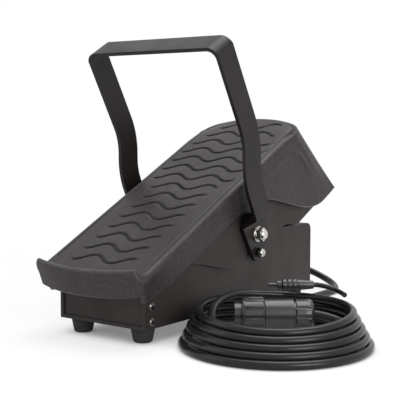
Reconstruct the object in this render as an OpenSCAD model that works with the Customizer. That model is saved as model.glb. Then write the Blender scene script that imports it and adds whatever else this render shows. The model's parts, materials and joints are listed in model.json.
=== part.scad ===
// Rocking foot control with a bail handle and a coiled lead.
// +Z is up, +Y runs from the heel to the toe, +X is to the right of the foot.
// The origin is on the floor, in the middle of the four rubber feet.
// Most of the pedal is drawn in its own frame: x across, s along the tread from the heel,
// n square to the tread, zero on its surface.

/* [Base] */
// Width of the base box
base_w = 110; // [100:1:120]
// Length of the base box
base_l = 305; // [295:1:320]
// Thickness of the base sheet
sheet_t = 1.5; // [1:0.1:2]
// Height of the walls at the heel end
heel_wall_h = 39; // [30:1:42]
// Height of the walls at the toe end
toe_wall_h = 76; // [66:1:80]
// Bend radius of the top corner at the toe end
top_corner_r = 8; // [4:1:14]
// Depth of the flange that closes the top at the toe end
top_flange = 32; // [10:1:40]
// Width of the lips that frame the front panel
front_lip = 4; // [2:0.5:8]

/* [Feet] */
// Height of a rubber foot
foot_h = 15; // [10:1:18]
// Diameter of a foot where it meets the base
foot_d = 24; // [18:1:28]
// Diameter of a foot on the floor
foot_tip_d = 19; // [14:1:22]
// Distance of a foot's centre from the edges of the base
foot_inset = 16; // [14:1:24]

/* [Pedal] */
// Tilt of the tread at rest
tilt = 26.4; // [24:0.2:28]
// How far the moulded cover stands over the carrier on each side
cover_over = 9; // [7:0.5:14]
// How much shorter the tread is than the base
tread_short = 5; // [0:1:15]
// Thickness of the cover over the tread
cover_t = 4; // [3:0.5:5]
// Thickness of the skirts and of the toe end
skirt_t = 3; // [2:0.5:4]
// Depth of the side skirts
skirt_d = 26; // [20:1:32]
// Depth of the hood at the toe
hood_d = 102; // [80:1:110]
// How far the toe end bows out in the middle
toe_bow = 20; // [8:1:30]
// Lean of the toe end from square
toe_lean = 22; // [14:1:28]
// How far the heel lip stands above the tread
lip_rise = 10.5; // [6:0.5:14]
// How far the heel lip bows out in the middle
heel_bow = 10; // [4:1:16]
// Thickness of the carrier's steel
carrier_t = 2; // [1.5:0.5:2.5]
// Running gap between the base and the carrier's side plates
carrier_gap = 2; // [1:0.1:3]
// Depth of the carrier's side plates around the pivot
carrier_d = 90; // [86:1:94]
// Depth of the carrier's side plates at the toe
carrier_toe_d = 105; // [98:1:106]
// Radius of the bend along the cover's long edges
edge_r = 6; // [3:0.5:8]

/* [Tread] */
// Distance between the wave grooves
wave_pitch = 20.3; // [17:0.1:26]
// Length of one wave
wave_len = 48; // [36:1:60]
// Height of the waves to each side
wave_amp = 5.5; // [3:0.5:7]
// Width of a groove
groove_w = 2.2; // [1.4:0.2:3]
// Depth of a groove
groove_d = 1.2; // [0.6:0.1:2]

/* [Pivot] */
// Distance of the pivot behind the middle of the base
pivot_y = 23.5; // [18:0.5:28]
// Height of the pivot above the underside of the base
pivot_up = 75.5; // [72:0.5:80]
// Distance of the pivot under the tread
pivot_under = 65.6; // [64:0.2:68]
// How far the pivot lies past the middle of the tread
pivot_past = 26; // [20:1:32]
// Diameter of the pivot bolt
pivot_d = 8; // [6:0.5:9]
// Diameter of the handle's lower bolt
lower_d = 5; // [4:0.5:6]
// Distance of the lower bolt under the pivot
lower_drop = 20; // [18:0.5:22]
// Travel of the pedal in degrees
travel = 12; // [8:1:13]
// Running clearance of a turning fit
fit = 0.05; // [0.03:0.01:0.1]
// Clearance of a bolt in its hole
bolt_gap = 0.15; // [0.1:0.05:0.3]

/* [Handle] */
// Width of the handle over its outer faces
handle_w = 170; // [164:1:180]
// Top of the handle above the floor
handle_top = 295; // [285:1:310]
// Width of the handle's strap
strap_w = 28; // [24:1:32]
// Thickness of the strap
strap_t = 4; // [3:0.5:5]
// Lean of the strap's upper part
top_lean = 29.3; // [24:0.5:32]
// Lean of the strap's lower part
low_lean = 27.7; // [24:0.5:32]
// Radius of the bends in the plane of the strap
strap_bend = 70; // [40:1:74]
// Outer radius of the two top corners
corner_r = 13; // [8:1:20]

/* [Control] */
// Module of the gear teeth
gear_m = 1.25; // [1.2:0.05:1.3]
// Teeth of the pinion
pinion_teeth = 10; // [10:1:12]
// Teeth that the sector would have as a whole wheel
sector_teeth = 112; // [110:2:114]
// Direction of the pinion below the level of the pivot
mesh_angle = 15; // [12:1:18]
// Diameter of the potentiometer's housing
pot_d = 24; // [18:1:28]
// Diameter of the potentiometer's shaft
pot_shaft_d = 6; // [4:0.5:6.4]
// Wire of the return springs
spring_wire = 1.6; // [1.2:0.1:2]
// Outer diameter of the return springs
spring_d = 13; // [10:0.5:15]

/* [Lead] */
// Diameter of the main lead
lead_d = 8; // [6:0.5:9]
// Diameter of the thin lead to the second plug
branch_d = 5; // [4:0.5:6]
// Outer radius of the coiled lead
coil_r = 92; // [88:1:94]
// Inner radius of the coil's stack
coil_in = 60; // [54:1:64]
// Inner radius of the loose turns that lie flat inside the stack
coil_flat_in = 36; // [30:1:44]
// Height of the coil's stack in the middle
coil_h = 36; // [30:1:46]
// Slope of the top of the stack
coil_lean = 4; // [0:1:8]
// Diameter of the plug's coupling ring
plug_d = 33; // [28:1:36]

/* [Hidden] */
$fn = 48;
hull_fn = 32;

// Shades of the finishes
steel_black = [0.20, 0.19, 0.19];
cover_black = [0.27, 0.26, 0.26];
rubber_black = [0.13, 0.13, 0.13];
zinc = [0.80, 0.80, 0.78];
brass = [0.72, 0.60, 0.32];
grey_plastic = [0.30, 0.30, 0.31];
pale_plastic = [0.75, 0.74, 0.68];

// Levels and half sizes
half_w = base_w / 2;
half_l = base_l / 2;
floor_z = foot_h + sheet_t;
wall_z = foot_h + toe_wall_h;
heel_z = foot_h + heel_wall_h;
pivot_z = foot_h + pivot_up;
lobe_top = pivot_z + 20;
lobe_half = 28;
slope = tan(tilt);
eps = 0.01;

// Sizes of the pedal that follow the base
carrier_w = base_w + 2 * (carrier_gap + carrier_t);
cover_w = carrier_w + 2 * cover_over;
tread_l = base_l - tread_short;
pivot_s = tread_l / 2 + pivot_past;

// Stack of pieces along the pivot, as distances from the middle
carrier_in = carrier_w / 2 - carrier_t;
washer_t = 1.6;
ear_in = carrier_w / 2 + 0.2 + washer_t;
ear_out = ear_in + strap_t;
bush_d = pivot_d + 4;
flange_d = pivot_d + 10;
nut_h = 6.5;
hex_af = 13;
head_h = 5.3;
head_face = 0.6;
lower_y = pivot_y + 1;
lower_z = pivot_z - lower_drop;
lower_head_h = 3.4;
lower_wash_af = lower_d + 4;
lower_nut_af = lower_d + 3;
spacer_d = lower_d + 4;

// Where the pedal's parts lie in its own frame
lip_over = 9.6;
lip_blend = 16;
lip_face_out = 5.8;
lip_face_d = 14.3;
heel_wall_s = -2;
hood_from = pivot_s - 11;
hood_to = tread_l + 15;
carrier_from = pivot_s - 136;
carrier_to = pivot_s - 16;
carrier_flat_to = pivot_s + 52;
carrier_drop_to = pivot_s + 90;
carrier_top = cover_t + carrier_t;
toe_margin = 8;
bead_in = 6;
bead_w = 1.2;
toe_r = (pow(cover_w / 2, 2) + pow(toe_bow, 2)) / (2 * toe_bow);
heel_r = (pow(cover_w / 2, 2) + pow(heel_bow, 2)) / (2 * heel_bow);
heel_axis = heel_r - heel_bow - lip_over;
s_steps = 16;

// Gear train
sector_r = gear_m * sector_teeth / 2;
pinion_r = gear_m * pinion_teeth / 2;
centre_gap = 0.05;
pinion_c = [pivot_y + (sector_r + pinion_r + centre_gap) * cos(mesh_angle),
            pivot_z - (sector_r + pinion_r + centre_gap) * sin(mesh_angle)];
gear_x = 10;
sector_t = 4;
pinion_t = 6;
pot_face_x = 0;
pot_plate_t = 1.5;
pot_depth = 12.5;
pot_bush_d = pot_shaft_d + 3;
pot_bush_l = 6;

// Switch, placed from the pivot
switch_size = [10, 16, 28];
switch_x = gear_x - switch_size[0] / 2;
switch_rear = -18;
switch_low = -56;
hinge_y = -16.6;
hinge_z = -53;
lever_top = -21.5;
lever_lean = 14;
lever_t = 0.6;
lever_w = 5;
nose_r = 4.08;
nose_y = -5;
nose_z = -25;
plunger_z = -45;
plunger_d = 3;

// Terminal block, clear of the heel feet, and the springs in front of it
terminal_clear = 18.5;
terminal_y = -half_l + foot_inset + terminal_clear;
spring_clear = 25.5;
spring_y = terminal_y + spring_clear;
spring_low_z = floor_z + 9.5;
rod_d = 4;
rod_under = 13.5;
spring_high_z = pivot_z + (spring_y - pivot_y) * slope + (pivot_under - rod_under) / cos(tilt);
spring_x = 12;
spring_turns = 12;
spring_steps = 8;
hook_r = rod_d / 2 + 0.3 + spring_wire / 2;

// Gland on the toe end of the base
gland_x = -10;
gland_z = 32;
gland_d = 16;
gland_hex = 20;
relief_l = 26;
relief_end = half_l + 6 + relief_l;

// Coil and plugs
coil_x = 151;
coil_y = -76;
coil_turn = 36.7;
plug_c = [134.3, -53.6];
plug_z = lead_d + plug_d / 2 + 0.3;
plug_half = 39;
slim_c = [127.6, -11.1];
slim_z = 46.9;
slim_len = 46;

// Routes of the leads where they are not coiled: points chosen by hand
run_route = [
    [-10, relief_end, 32], [-10, 196, 31], [-6, 208, 27], [4, 219, 21], [18, 225, 14],
    [34, 222, 8], [48, 213, 5], [58, 200, 4], [62, 184, 4], [63, 166, 4], [63, 146, 4],
    [63, 124, 4], [63, 102, 4], [63, 80, 4], [63, 58, 4], [63, 36, 4], [63, 14, 4],
    [63, -8, 4], [63, -26, 4], [63, -42, 4]
];
tail_route = [[165.6, -30.3, plug_z], [172, -25.5, plug_z], [179, -20.3, plug_z]];
branch_route = [
    [146.1, 2.7, slim_z], [148.9, 4.8, slim_z], [156.6, 7.8, 45.8], [166.5, 7.4, 43.8],
    [176.5, 3.4, 42.2], [184, -2.5, 41.4]
];

// ---------- helpers ----------

// Smooth step from 0 to 1 as half a cosine wave
function ease(t) = (1 - cos(180 * max(0, min(1, t)))) / 2;

// Points of an S-shaped edge from (s0, -d0) to (s1, -d1)
function s_edge(s0, d0, s1, d1) =
    [for (i = [0 : s_steps]) let (t = i / s_steps) [s0 + (s1 - s0) * t, -d0 - (d1 - d0) * ease(t)]];

// Draws children in the pedal's own frame
module on_pedal() {
    translate([0, pivot_y, pivot_z]) rotate([tilt, 0, 0]) translate([0, -pivot_s, pivot_under])
        children();
}

// Extrudes an outline given as (y, z) across the width, centred on x
module across(width) {
    translate([-width / 2, 0, 0]) rotate([90, 0, 90]) linear_extrude(width) children();
}

// A cylinder along x, from x0 to x1
module xrod(x0, x1, d) {
    translate([x0, 0, 0]) rotate([0, 90, 0]) cylinder(d = d, h = x1 - x0);
}

// Both sides, mirrored
module both_sides() {
    for (side = [0, 1]) mirror([side, 0, 0]) children();
}

// Outline of a link: two round ends joined by their outer tangents
module link_2d(p, rp, q, rq) {
    v = q - p;
    len = norm(v);
    turn = atan2(v[1], v[0]);
    a = acos((rp - rq) / len);
    translate(p) circle(rp);
    translate(q) circle(rq);
    polygon([p + rp * [cos(turn + a), sin(turn + a)], q + rq * [cos(turn + a), sin(turn + a)],
             q + rq * [cos(turn - a), sin(turn - a)], p + rp * [cos(turn - a), sin(turn - a)]]);
}

// Polar half angle of an involute tooth at radius rho
function inv(a) = tan(a) * 180 / PI - a;
function tooth_half(teeth, slack, rho) =
    let (r = gear_m * teeth / 2, rb = r * cos(20))
    90 / teeth - slack / r * 180 / PI + inv(20) - inv(acos(rb / max(rho, rb)));

// Points of one tooth, centred on the angle given
function tooth(teeth, slack, root, tip, at) =
    let (steps = 4, rr = [for (i = [0 : steps]) root + (tip - root) * i / steps])
    concat([for (rho = rr) rho * [cos(at - tooth_half(teeth, slack, rho)),
                                  sin(at - tooth_half(teeth, slack, rho))]],
           [for (i = [steps : -1 : 0]) rr[i] * [cos(at + tooth_half(teeth, slack, rr[i])),
                                               sin(at + tooth_half(teeth, slack, rr[i]))]]);

// Tube swept along a list of points, closed at both ends
module tube(route, d, sides) {
    count = len(route);
    way = [for (i = [0 : count - 1]) let (v = route[min(i + 1, count - 1)] - route[max(i - 1, 0)])
           v / norm(v)];
    first = cross(way[0], abs(way[0][2]) < 0.9 ? [0, 0, 1] : [1, 0, 0]);
    rings = [for (i = 0, u = first / norm(first); i < count;
                  i = i + 1, u = (i < count) ? let (w = u - (u * way[i]) * way[i]) w / norm(w) : u) u];
    points = [for (i = [0 : count - 1]) let (u = rings[i], v = cross(way[i], u))
              for (k = [0 : sides - 1]) let (a = 360 * k / sides)
              route[i] + d / 2 * (cos(a) * u + sin(a) * v)];
    walls = [for (i = [0 : count - 2], k = [0 : sides - 1]) let (m = (k + 1) % sides)
             [i * sides + k, (i + 1) * sides + k, (i + 1) * sides + m, i * sides + m]];
    ends = [[for (k = [0 : sides - 1]) k],
            [for (k = [sides - 1 : -1 : 0]) (count - 1) * sides + k]];
    polyhedron(points, concat(walls, ends));
}

// ---------- base ----------

// Side outline of the base: low at the heel, lobes round the pivot, bent corner at the toe
module base_outline() {
    lobe_front = -half_l + (lobe_top - heel_z) / slope;
    difference() {
        union() {
            polygon([[-half_l, foot_h], [half_l, foot_h], [half_l, wall_z - top_corner_r],
                     [half_l - top_corner_r, wall_z], [pivot_y + lobe_half + 16, wall_z],
                     [pivot_y + lobe_half, lobe_top], [lobe_front, lobe_top], [-half_l, heel_z]]);
            translate([half_l - top_corner_r, wall_z - top_corner_r]) circle(top_corner_r);
        }
    }
}

module base_shell() {
    color(steel_black) difference() {
        across(base_w) base_outline();
        // Inside of the box, with the bend at the toe end
        across(base_w - 2 * sheet_t) union() {
            polygon([[-half_l + sheet_t, floor_z], [half_l - sheet_t, floor_z],
                     [half_l - sheet_t, wall_z - top_corner_r], [half_l - top_corner_r, wall_z - sheet_t],
                     [-half_l + sheet_t, wall_z - sheet_t]]);
            translate([half_l - top_corner_r, wall_z - top_corner_r]) circle(top_corner_r - sheet_t);
        }
        // Open top ahead of the flange
        translate([-half_w + sheet_t, -half_l + sheet_t, floor_z])
            cube([base_w - 2 * sheet_t, base_l - sheet_t - top_flange, lobe_top]);
        // Window of the front panel, framed by three lips
        translate([-half_w + front_lip, -half_l - 1, floor_z + 2])
            cube([base_w - 2 * front_lip, sheet_t + 2, lobe_top]);
        translate([0, pivot_y, pivot_z]) xrod(-base_w, base_w, pivot_d + 2 * bolt_gap);
        translate([0, lower_y, lower_z]) xrod(-base_w, base_w, lower_d + 2 * bolt_gap);
        for (z = panel_screw_z) translate([0, panel_screw_y, z])
            xrod(-base_w, base_w, panel_screw_d + 2 * bolt_gap);
        for (x = [-1, 1], y = [-1, 1]) translate([x * foot_x, y * foot_y, foot_h - 1])
            cylinder(d = foot_screw_d + 2 * bolt_gap, h = 5);
        for (p = floor_screws) translate([p[0], p[1], foot_h - 1])
            cylinder(d = floor_screw_d + 2 * bolt_gap, h = 5);
        translate([gland_x, half_l - 5, gland_z]) rotate([-90, 0, 0])
            cylinder(d = gland_d + 2 * bolt_gap, h = 10);
    }
}

panel_screw_y = -half_l + 10;
panel_screw_z = [foot_h + 7, foot_h + 22];
panel_screw_d = 4;
panel_flange = 20;
panel_gap = 0.1;

// Sheet panel bent back at its sides and top, which closes the heel end
module front_panel() {
    w = base_w - 2 * sheet_t - 2 * panel_gap;
    top = heel_z - 1;
    y0 = -half_l + sheet_t + panel_gap;
    color(steel_black) difference() {
        translate([-w / 2, y0, floor_z + panel_gap]) cube([w, panel_flange, top - floor_z - panel_gap]);
        translate([-w / 2 + sheet_t, y0 + sheet_t, floor_z - 1])
            cube([w - 2 * sheet_t, panel_flange, top - floor_z + 1 - sheet_t]);
        for (z = panel_screw_z) translate([0, panel_screw_y, z])
            xrod(-base_w, base_w, panel_screw_d + 2 * bolt_gap);
        for (x = [-1, 1]) translate([x * bumper_x, bumper_y, top - 5])
            cylinder(d = bumper_stud_d + 2 * bolt_gap, h = 8);
        for (x = [-1, 1]) translate([x * foot_x, -foot_y, floor_z - 1])
            cylinder(d = foot_nut_d + 1, h = foot_nut_h + 2);
    }
}

// Pan-head screw pointing inwards along -x, its head's seat on the origin
module side_screw(d, len, head_d, head_h) {
    xrod(-len, 0, d);
    rotate([0, 90, 0]) difference() {
        intersection() {
            cylinder(d = head_d, h = head_h);
            translate([0, 0, head_h - head_d * 0.72]) sphere(d = head_d * 1.44);
        }
        for (a = [0, 90]) rotate(a) translate([-head_d / 4, -0.45, head_h - 1.2])
            cube([head_d / 2, 0.9, 2]);
    }
}

panel_screw_l = 7;
panel_head_d = 8;
panel_head_h = 2.4;

module panel_screws() {
    color(rubber_black) both_sides() for (z = panel_screw_z)
        translate([half_w, panel_screw_y, z]) side_screw(panel_screw_d, panel_screw_l, panel_head_d, panel_head_h);
}

foot_x = half_w - foot_inset;
foot_y = half_l - foot_inset;
foot_screw_d = 5;
foot_nut_d = 9;
foot_nut_h = 4;
foot_seat = 5;

module feet() {
    color(rubber_black) for (x = [-1, 1], y = [-1, 1]) translate([x * foot_x, y * foot_y, 0])
        difference() {
            rotate_extrude() polygon([[0, 0], [foot_tip_d / 2 - 1.5, 0], [foot_tip_d / 2, 1.5],
                                      [foot_d / 2, foot_h - 1], [foot_d / 2, foot_h], [0, foot_h]]);
            translate([0, 0, -1]) cylinder(d = 11, h = foot_seat + 1);
            cylinder(d = foot_screw_d + 2 * bolt_gap, h = foot_h + 1);
        }
}

module foot_screws() {
    color(zinc) for (x = [-1, 1], y = [-1, 1]) translate([x * foot_x, y * foot_y, 0]) {
        translate([0, 0, foot_seat - 3]) cylinder(d = 9, h = 3);
        translate([0, 0, foot_seat - 3]) cylinder(d = foot_screw_d, h = floor_z + foot_nut_h - foot_seat + 4);
        translate([0, 0, floor_z]) cylinder(d = foot_nut_d, h = foot_nut_h, $fn = 6);
    }
}

bumper_x = 30;
bumper_y = -half_l + 11;
bumper_d = 12;
bumper_stud_d = 4;
bumper_gap = 0.3;

// Height of the carrier's underside over a point of the base
function under_carrier(y) = pivot_z + (y - pivot_y) * slope + (pivot_under - carrier_top) / cos(tilt);

module heel_bumpers() {
    seat = heel_z - 1;
    color(rubber_black) for (x = [-1, 1]) translate([x * bumper_x, bumper_y, seat]) difference() {
        union() {
            cylinder(d1 = bumper_d, d2 = bumper_d - 3, h = 40);
            translate([0, 0, -sheet_t - 3]) cylinder(d = bumper_stud_d, h = 4 + sheet_t);
            translate([0, 0, -sheet_t - 2.5]) cylinder(d = bumper_stud_d + 3, h = 2.5);
        }
        // Top cut to the slope of the carrier
        translate([0, 0, under_carrier(bumper_y) - seat - bumper_gap]) rotate([tilt, 0, 0])
            translate([-20, -20, 0]) cube([40, 40, 60]);
    }
}

// ---------- pedal ----------

// Side outline of the cover behind the lip: tread, skirt and the wave down to the hood
module cover_outline() {
    long = tread_l + 120;
    polygon(concat([[long, 0], [0, 0], [-lip_over + 7, -skirt_d]],
                   s_edge(hood_from, skirt_d, hood_to, hood_d), [[long, -hood_d]]));
}

// Prism whose bowed end is the toe of the cover, drawn in by inset
module toe_prism(inset) {
    translate([0, tread_l, 0]) rotate([toe_lean, 0, 0]) translate([0, 0, -250])
        linear_extrude(400) {
            translate([0, toe_bow - toe_r]) circle(toe_r - inset, $fn = 96);
            translate([-cover_w, -600]) square([2 * cover_w, 600 + toe_bow - toe_r]);
        }
}

// Cross outline of the cover with its rounded shoulders
module shoulder_outline() {
    hw = cover_w / 2;
    translate([-hw, -hood_d - 60]) square([cover_w, hood_d + 60 - edge_r]);
    translate([-hw + edge_r, -hood_d]) square([cover_w - 2 * edge_r, hood_d]);
    for (x = [-1, 1]) translate([x * (hw - edge_r), -edge_r]) circle(edge_r);
}

// Section of the heel lip as (radius, n); the lip is this section turned about the bow's centre
module lip_section() {
    crest_r = 3;
    r0 = heel_r;
    steps = 8;
    rise = [for (i = [0 : steps]) let (t = i / steps)
            [r0 - lip_over - lip_blend + (lip_over + lip_blend - crest_r) * t,
             (lip_rise - crest_r * 0.4) * t * t]];
    polygon(concat(rise, [[r0, lip_rise - crest_r], [r0 + lip_face_out, -lip_face_d],
                          [r0 - 7, -skirt_d + 0.6], [r0 - lip_over - lip_blend, -cover_t]]));
    translate([r0 - crest_r, lip_rise - crest_r]) circle(crest_r);
}

module heel_lip() {
    turn = asin(cover_w / 2 / heel_r) + 6;
    intersection() {
        translate([0, heel_axis, 0]) rotate(270 - turn) rotate_extrude(angle = 2 * turn, $fn = 192)
            lip_section();
        // The two ends run down to the skirts
        rotate([90, 0, 0]) translate([0, 0, -60]) linear_extrude(120)
            polygon([[-cover_w / 2, -60], [cover_w / 2, -60], [cover_w / 2, 1],
                     [cover_w / 2 - 9, lip_rise + 1], [-cover_w / 2 + 9, lip_rise + 1],
                     [-cover_w / 2, 1]]);
    }
}

// Rows of the tread: distance from the heel, and half the length of the row
wave_first = 17;
wave_rows = floor((tread_l + 6 - wave_first) / wave_pitch);
function row_half(s) = s < 0.5 * tread_l ? 41 : min(59, 41 + (s - 0.5 * tread_l) * 0.5)
                       - max(0, s - 0.85 * tread_l) * 0.36;

// One groove: a wave that narrows to nothing at both ends
module wave_groove(s0, half) {
    steps = ceil(half / 2.6);
    mid = [for (i = [0 : steps]) let (x = -half + 2 * half * i / steps)
           [x, s0 - wave_amp * cos(360 * (x + half) / wave_len - 30)]];
    wide = [for (i = [0 : steps]) groove_w / 2 * min(1, 0.25 + 4 * min(i, steps - i) / steps)];
    polygon(concat([for (i = [0 : steps]) mid[i] + [0, wide[i]]],
                   [for (i = [steps : -1 : 0]) mid[i] - [0, wide[i]]]));
}

module cover_body() {
    difference() {
        union() {
            intersection() {
                across(cover_w) cover_outline();
                toe_prism(0);
                translate([0, tread_l + 120, 0]) rotate([90, 0, 0]) linear_extrude(tread_l + 200)
                    shoulder_outline();
            }
            heel_lip();
        }
        // Hollow underside that the carrier sits in
        intersection() {
            translate([-cover_w / 2 + skirt_t, heel_wall_s, -300 - cover_t])
                cube([cover_w - 2 * skirt_t, tread_l + 200, 300]);
            toe_prism(skirt_t);
        }
    }
}

cover_screw_s = [30, 130, 250];
cover_screw_x = 42;
cover_screw_d = 3;
cover_screw_in = 2.2;

module pedal_cover() {
    color(cover_black) on_pedal() difference() {
        cover_body();
        for (k = [0 : wave_rows]) let (s = wave_first + k * wave_pitch)
            translate([0, 0, -groove_d]) linear_extrude(groove_d + 20) wave_groove(s, row_half(s));
        // Bead line along each edge of the tread
        for (x = [-1, 1]) translate([x * (cover_w / 2 - bead_in) - bead_w / 2, 12, -0.6])
            cube([bead_w, tread_l + 40, 20]);
        for (x = [-1, 1], s = cover_screw_s)
            translate([x * cover_screw_x, s, -cover_t - 1])
                cylinder(d = cover_screw_d + 2 * bolt_gap, h = cover_screw_in + 1);
    }
}

module cover_screws() {
    color(zinc) on_pedal() for (x = [-1, 1], s = cover_screw_s)
        translate([x * cover_screw_x, s, -carrier_top]) {
            translate([0, 0, -2]) cylinder(d = 7, h = 2);
            cylinder(d = cover_screw_d, h = carrier_t + cover_screw_in - 0.2);
        }
}

// Outline of a carrier side plate, with its two waves
module carrier_outline() {
    toe_s = tread_l - toe_margin;
    polygon(concat([[0, -cover_t], [0, -skirt_d + 2]],
                   s_edge(carrier_from, skirt_d, carrier_to, carrier_d),
                   s_edge(carrier_flat_to, carrier_d, carrier_drop_to, carrier_toe_d),
                   [[toe_s + carrier_toe_d * tan(toe_lean), -carrier_toe_d],
                    [toe_s + cover_t * tan(toe_lean), -cover_t]]));
}

// The lower bolt in the pedal's frame, seen from the pivot
lower_arm = [lower_y - pivot_y, lower_z - pivot_z];
lower_at = norm(lower_arm);
lower_dir = atan2(lower_arm[1], lower_arm[0]);
notch_gap = 0.6;
notch_back = 20;

// Outline of the notch: a curved slot from one direction to another, cut through to the edge
module notch_2d(half, from, to) {
    far = lower_at + 2 * skirt_d;
    intersection() {
        difference() {
            circle(far);
            circle(lower_at - half, $fn = 96);
        }
        polygon([[0, 0], 2 * far * [cos(from), sin(from)], 2 * far * [cos(to), sin(to)]]);
    }
    for (a = [from, to]) rotate(a) translate([lower_at, 0]) {
        circle(half);
        translate([0, -half]) square([far, 2 * half]);
    }
}

module pedal_carrier() {
    color(steel_black) difference() {
        on_pedal() {
            both_sides() translate([carrier_in, 0, 0])
                rotate([90, 0, 90]) linear_extrude(carrier_t) carrier_outline();
            translate([-carrier_in - eps, 0, -carrier_top])
                cube([2 * carrier_in + 2 * eps, tread_l - toe_margin, carrier_t]);
        }
        translate([0, pivot_y, pivot_z]) xrod(-carrier_w, carrier_w, bush_d + 2 * fit);
        // Notch that the lower spacer runs in, open to the edge of the plate
        translate([-carrier_w, pivot_y, pivot_z]) rotate([90, 0, 90]) linear_extrude(2 * carrier_w)
            notch_2d(spacer_d / 2 + notch_gap, lower_dir - notch_back, lower_dir + travel + 2);
        on_pedal() {
            for (x = [-1, 1], s = cover_screw_s) translate([x * cover_screw_x, s, -carrier_top - 1])
                cylinder(d = cover_screw_d + 2 * bolt_gap, h = carrier_t + 2);
            for (s = sector_screw_s) translate([sector_screw_x, s, -carrier_top - 1])
                cylinder(d = sector_screw_d + 2 * bolt_gap, h = carrier_t + 2);
        }
        translate([0, spring_y, spring_high_z]) xrod(-carrier_w, carrier_w, rod_d);
    }
}

// ---------- pivot and handle ----------

// Hexagon along x, from x0 to x1
module xhex(x0, x1, af) {
    translate([x0, 0, 0]) rotate([0, 90, 0]) cylinder(d = af / cos(30), h = x1 - x0, $fn = 6);
}

module at_pivot() both_sides() translate([0, pivot_y, pivot_z]) children();
module at_lower() both_sides() translate([0, lower_y, lower_z]) children();

module ring_x(x0, x1, outer, inner) {
    difference() {
        xrod(x0, x1, outer);
        xrod(x0 - 1, x1 + 1, inner);
    }
}

module pivot_bolts() {
    head_x = ear_out + 2 * washer_t;
    color(zinc) at_pivot() {
        xrod(half_w - sheet_t - nut_h - 2, head_x + 2, pivot_d);
        xhex(head_x, head_x + head_h - head_face, hex_af);
        xrod(head_x, head_x + head_h, hex_af - 1);
    }
}

module pivot_washers() {
    color(zinc) at_pivot() {
        ring_x(ear_out, ear_out + washer_t, 17, pivot_d + 2 * bolt_gap);
        ring_x(ear_out + washer_t, ear_out + 2 * washer_t, 14, pivot_d + 2 * bolt_gap);
    }
}

// Flanged bush: the flange keeps the carrier off the wall and the sleeve is its bearing
module pivot_bushes() {
    color(brass) at_pivot() difference() {
        union() {
            xrod(half_w, carrier_in - 0.1, flange_d);
            xrod(half_w, carrier_w / 2 + 0.2, bush_d);
        }
        xrod(half_w - 1, carrier_w, pivot_d + 2 * bolt_gap);
    }
}

module spacing_washers() {
    color(zinc) at_pivot() ring_x(carrier_w / 2 + 0.2, ear_in, 18, pivot_d + 2 * bolt_gap);
}

module pivot_nuts() {
    color(zinc) at_pivot() difference() {
        xhex(half_w - sheet_t - nut_h, half_w - sheet_t, hex_af);
        xrod(0, half_w, pivot_d);
    }
}

lower_nut_h = 4;
lower_wash_t = 4;

module lower_bolts() {
    head_x = ear_out + lower_wash_t;
    color(zinc) at_lower() {
        xrod(half_w - sheet_t - lower_nut_h - 1, head_x + 1, lower_d);
        translate([head_x, 0, 0]) rotate([0, 90, 0]) rotate_extrude()
            polygon([[0, 0], [4.5, 0], [4.5, lower_head_h - 1.2], [3.4, lower_head_h], [0, lower_head_h]]);
    }
}

module lower_washers() {
    color(steel_black) at_lower() difference() {
        xhex(ear_out, ear_out + lower_wash_t, lower_wash_af);
        xrod(0, carrier_w, lower_d);
    }
}

module lower_spacers() {
    color(zinc) at_lower() ring_x(half_w, ear_in, spacer_d, lower_d + 2 * bolt_gap);
}

module lower_nuts() {
    color(zinc) at_lower() difference() {
        xhex(half_w - sheet_t - lower_nut_h, half_w - sheet_t, lower_nut_af);
        xrod(0, half_w, lower_d);
    }
}

// Centre line of the strap seen from the side: lower bend, and the two bends of the S
strap_low = [pivot_y - 19.8, pivot_z + 24.5];
strap_mid_y = strap_low[0] - 19.4;
strap_b = [strap_mid_y, strap_low[1] + 19.4 / tan(low_lean)];
strap_c = [strap_mid_y, strap_b[1] + 41.2];
strap_rise = handle_top - strap_w / 2 * sin(top_lean) - strap_c[1];
bend_steps = 8;
strap_d = [strap_mid_y - strap_rise * tan(top_lean), strap_c[1] + strap_rise];

// Points of the strap's two edges round a bend: radius taken from the bend's centre
function bend_edge(centre, r, from, to) =
    [for (i = [0 : bend_steps]) let (a = from + (to - from) * i / bend_steps)
     centre + r * [cos(a), sin(a)]];

// Both edges of the strap along its S, seen from the side
module strap_side() {
    half = strap_w / 2;
    low_tan = strap_bend * tan(low_lean / 2);
    top_tan = strap_bend * tan(top_lean / 2);
    low_c = strap_b + [strap_bend, low_tan];
    top_c = strap_c - [strap_bend, top_tan];
    low_n = half * [cos(low_lean), sin(low_lean)];
    top_n = half * [cos(top_lean), sin(top_lean)];
    top_end = strap_d + [-sin(top_lean), cos(top_lean)];
    polygon(concat([strap_low - low_n],
                   bend_edge(low_c, strap_bend + half, 180 + low_lean, 180),
                   bend_edge(top_c, strap_bend - half, 0, top_lean),
                   [top_end - top_n, top_end + top_n],
                   bend_edge(top_c, strap_bend + half, top_lean, 0),
                   bend_edge(low_c, strap_bend - half, 180, 180 + low_lean),
                   [strap_low + low_n]));
}

ear_r = 19;
ear_tip_r = 9.5;
web_drop = 12;
web_lap = 5;
web_inset = 0.2;

// Section of the step between a leg and its ear, across the strap
module web_2d() {
    leg_in = handle_w / 2 - strap_t + web_inset;
    leg_out = handle_w / 2 - web_inset;
    in = ear_in + web_inset;
    out = ear_out - web_inset;
    grade = (web_drop - 1) / (leg_out - out);
    rise = (strap_t - 2 * web_inset) * (sqrt(1 + grade * grade) - grade);
    polygon([[leg_in, 3], [leg_out, 3], [leg_out, -1], [out, -web_drop], [out, -web_drop - web_lap],
             [in, -web_drop - web_lap], [in, rise - web_drop], [leg_in, rise - 1]]);
}

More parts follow.
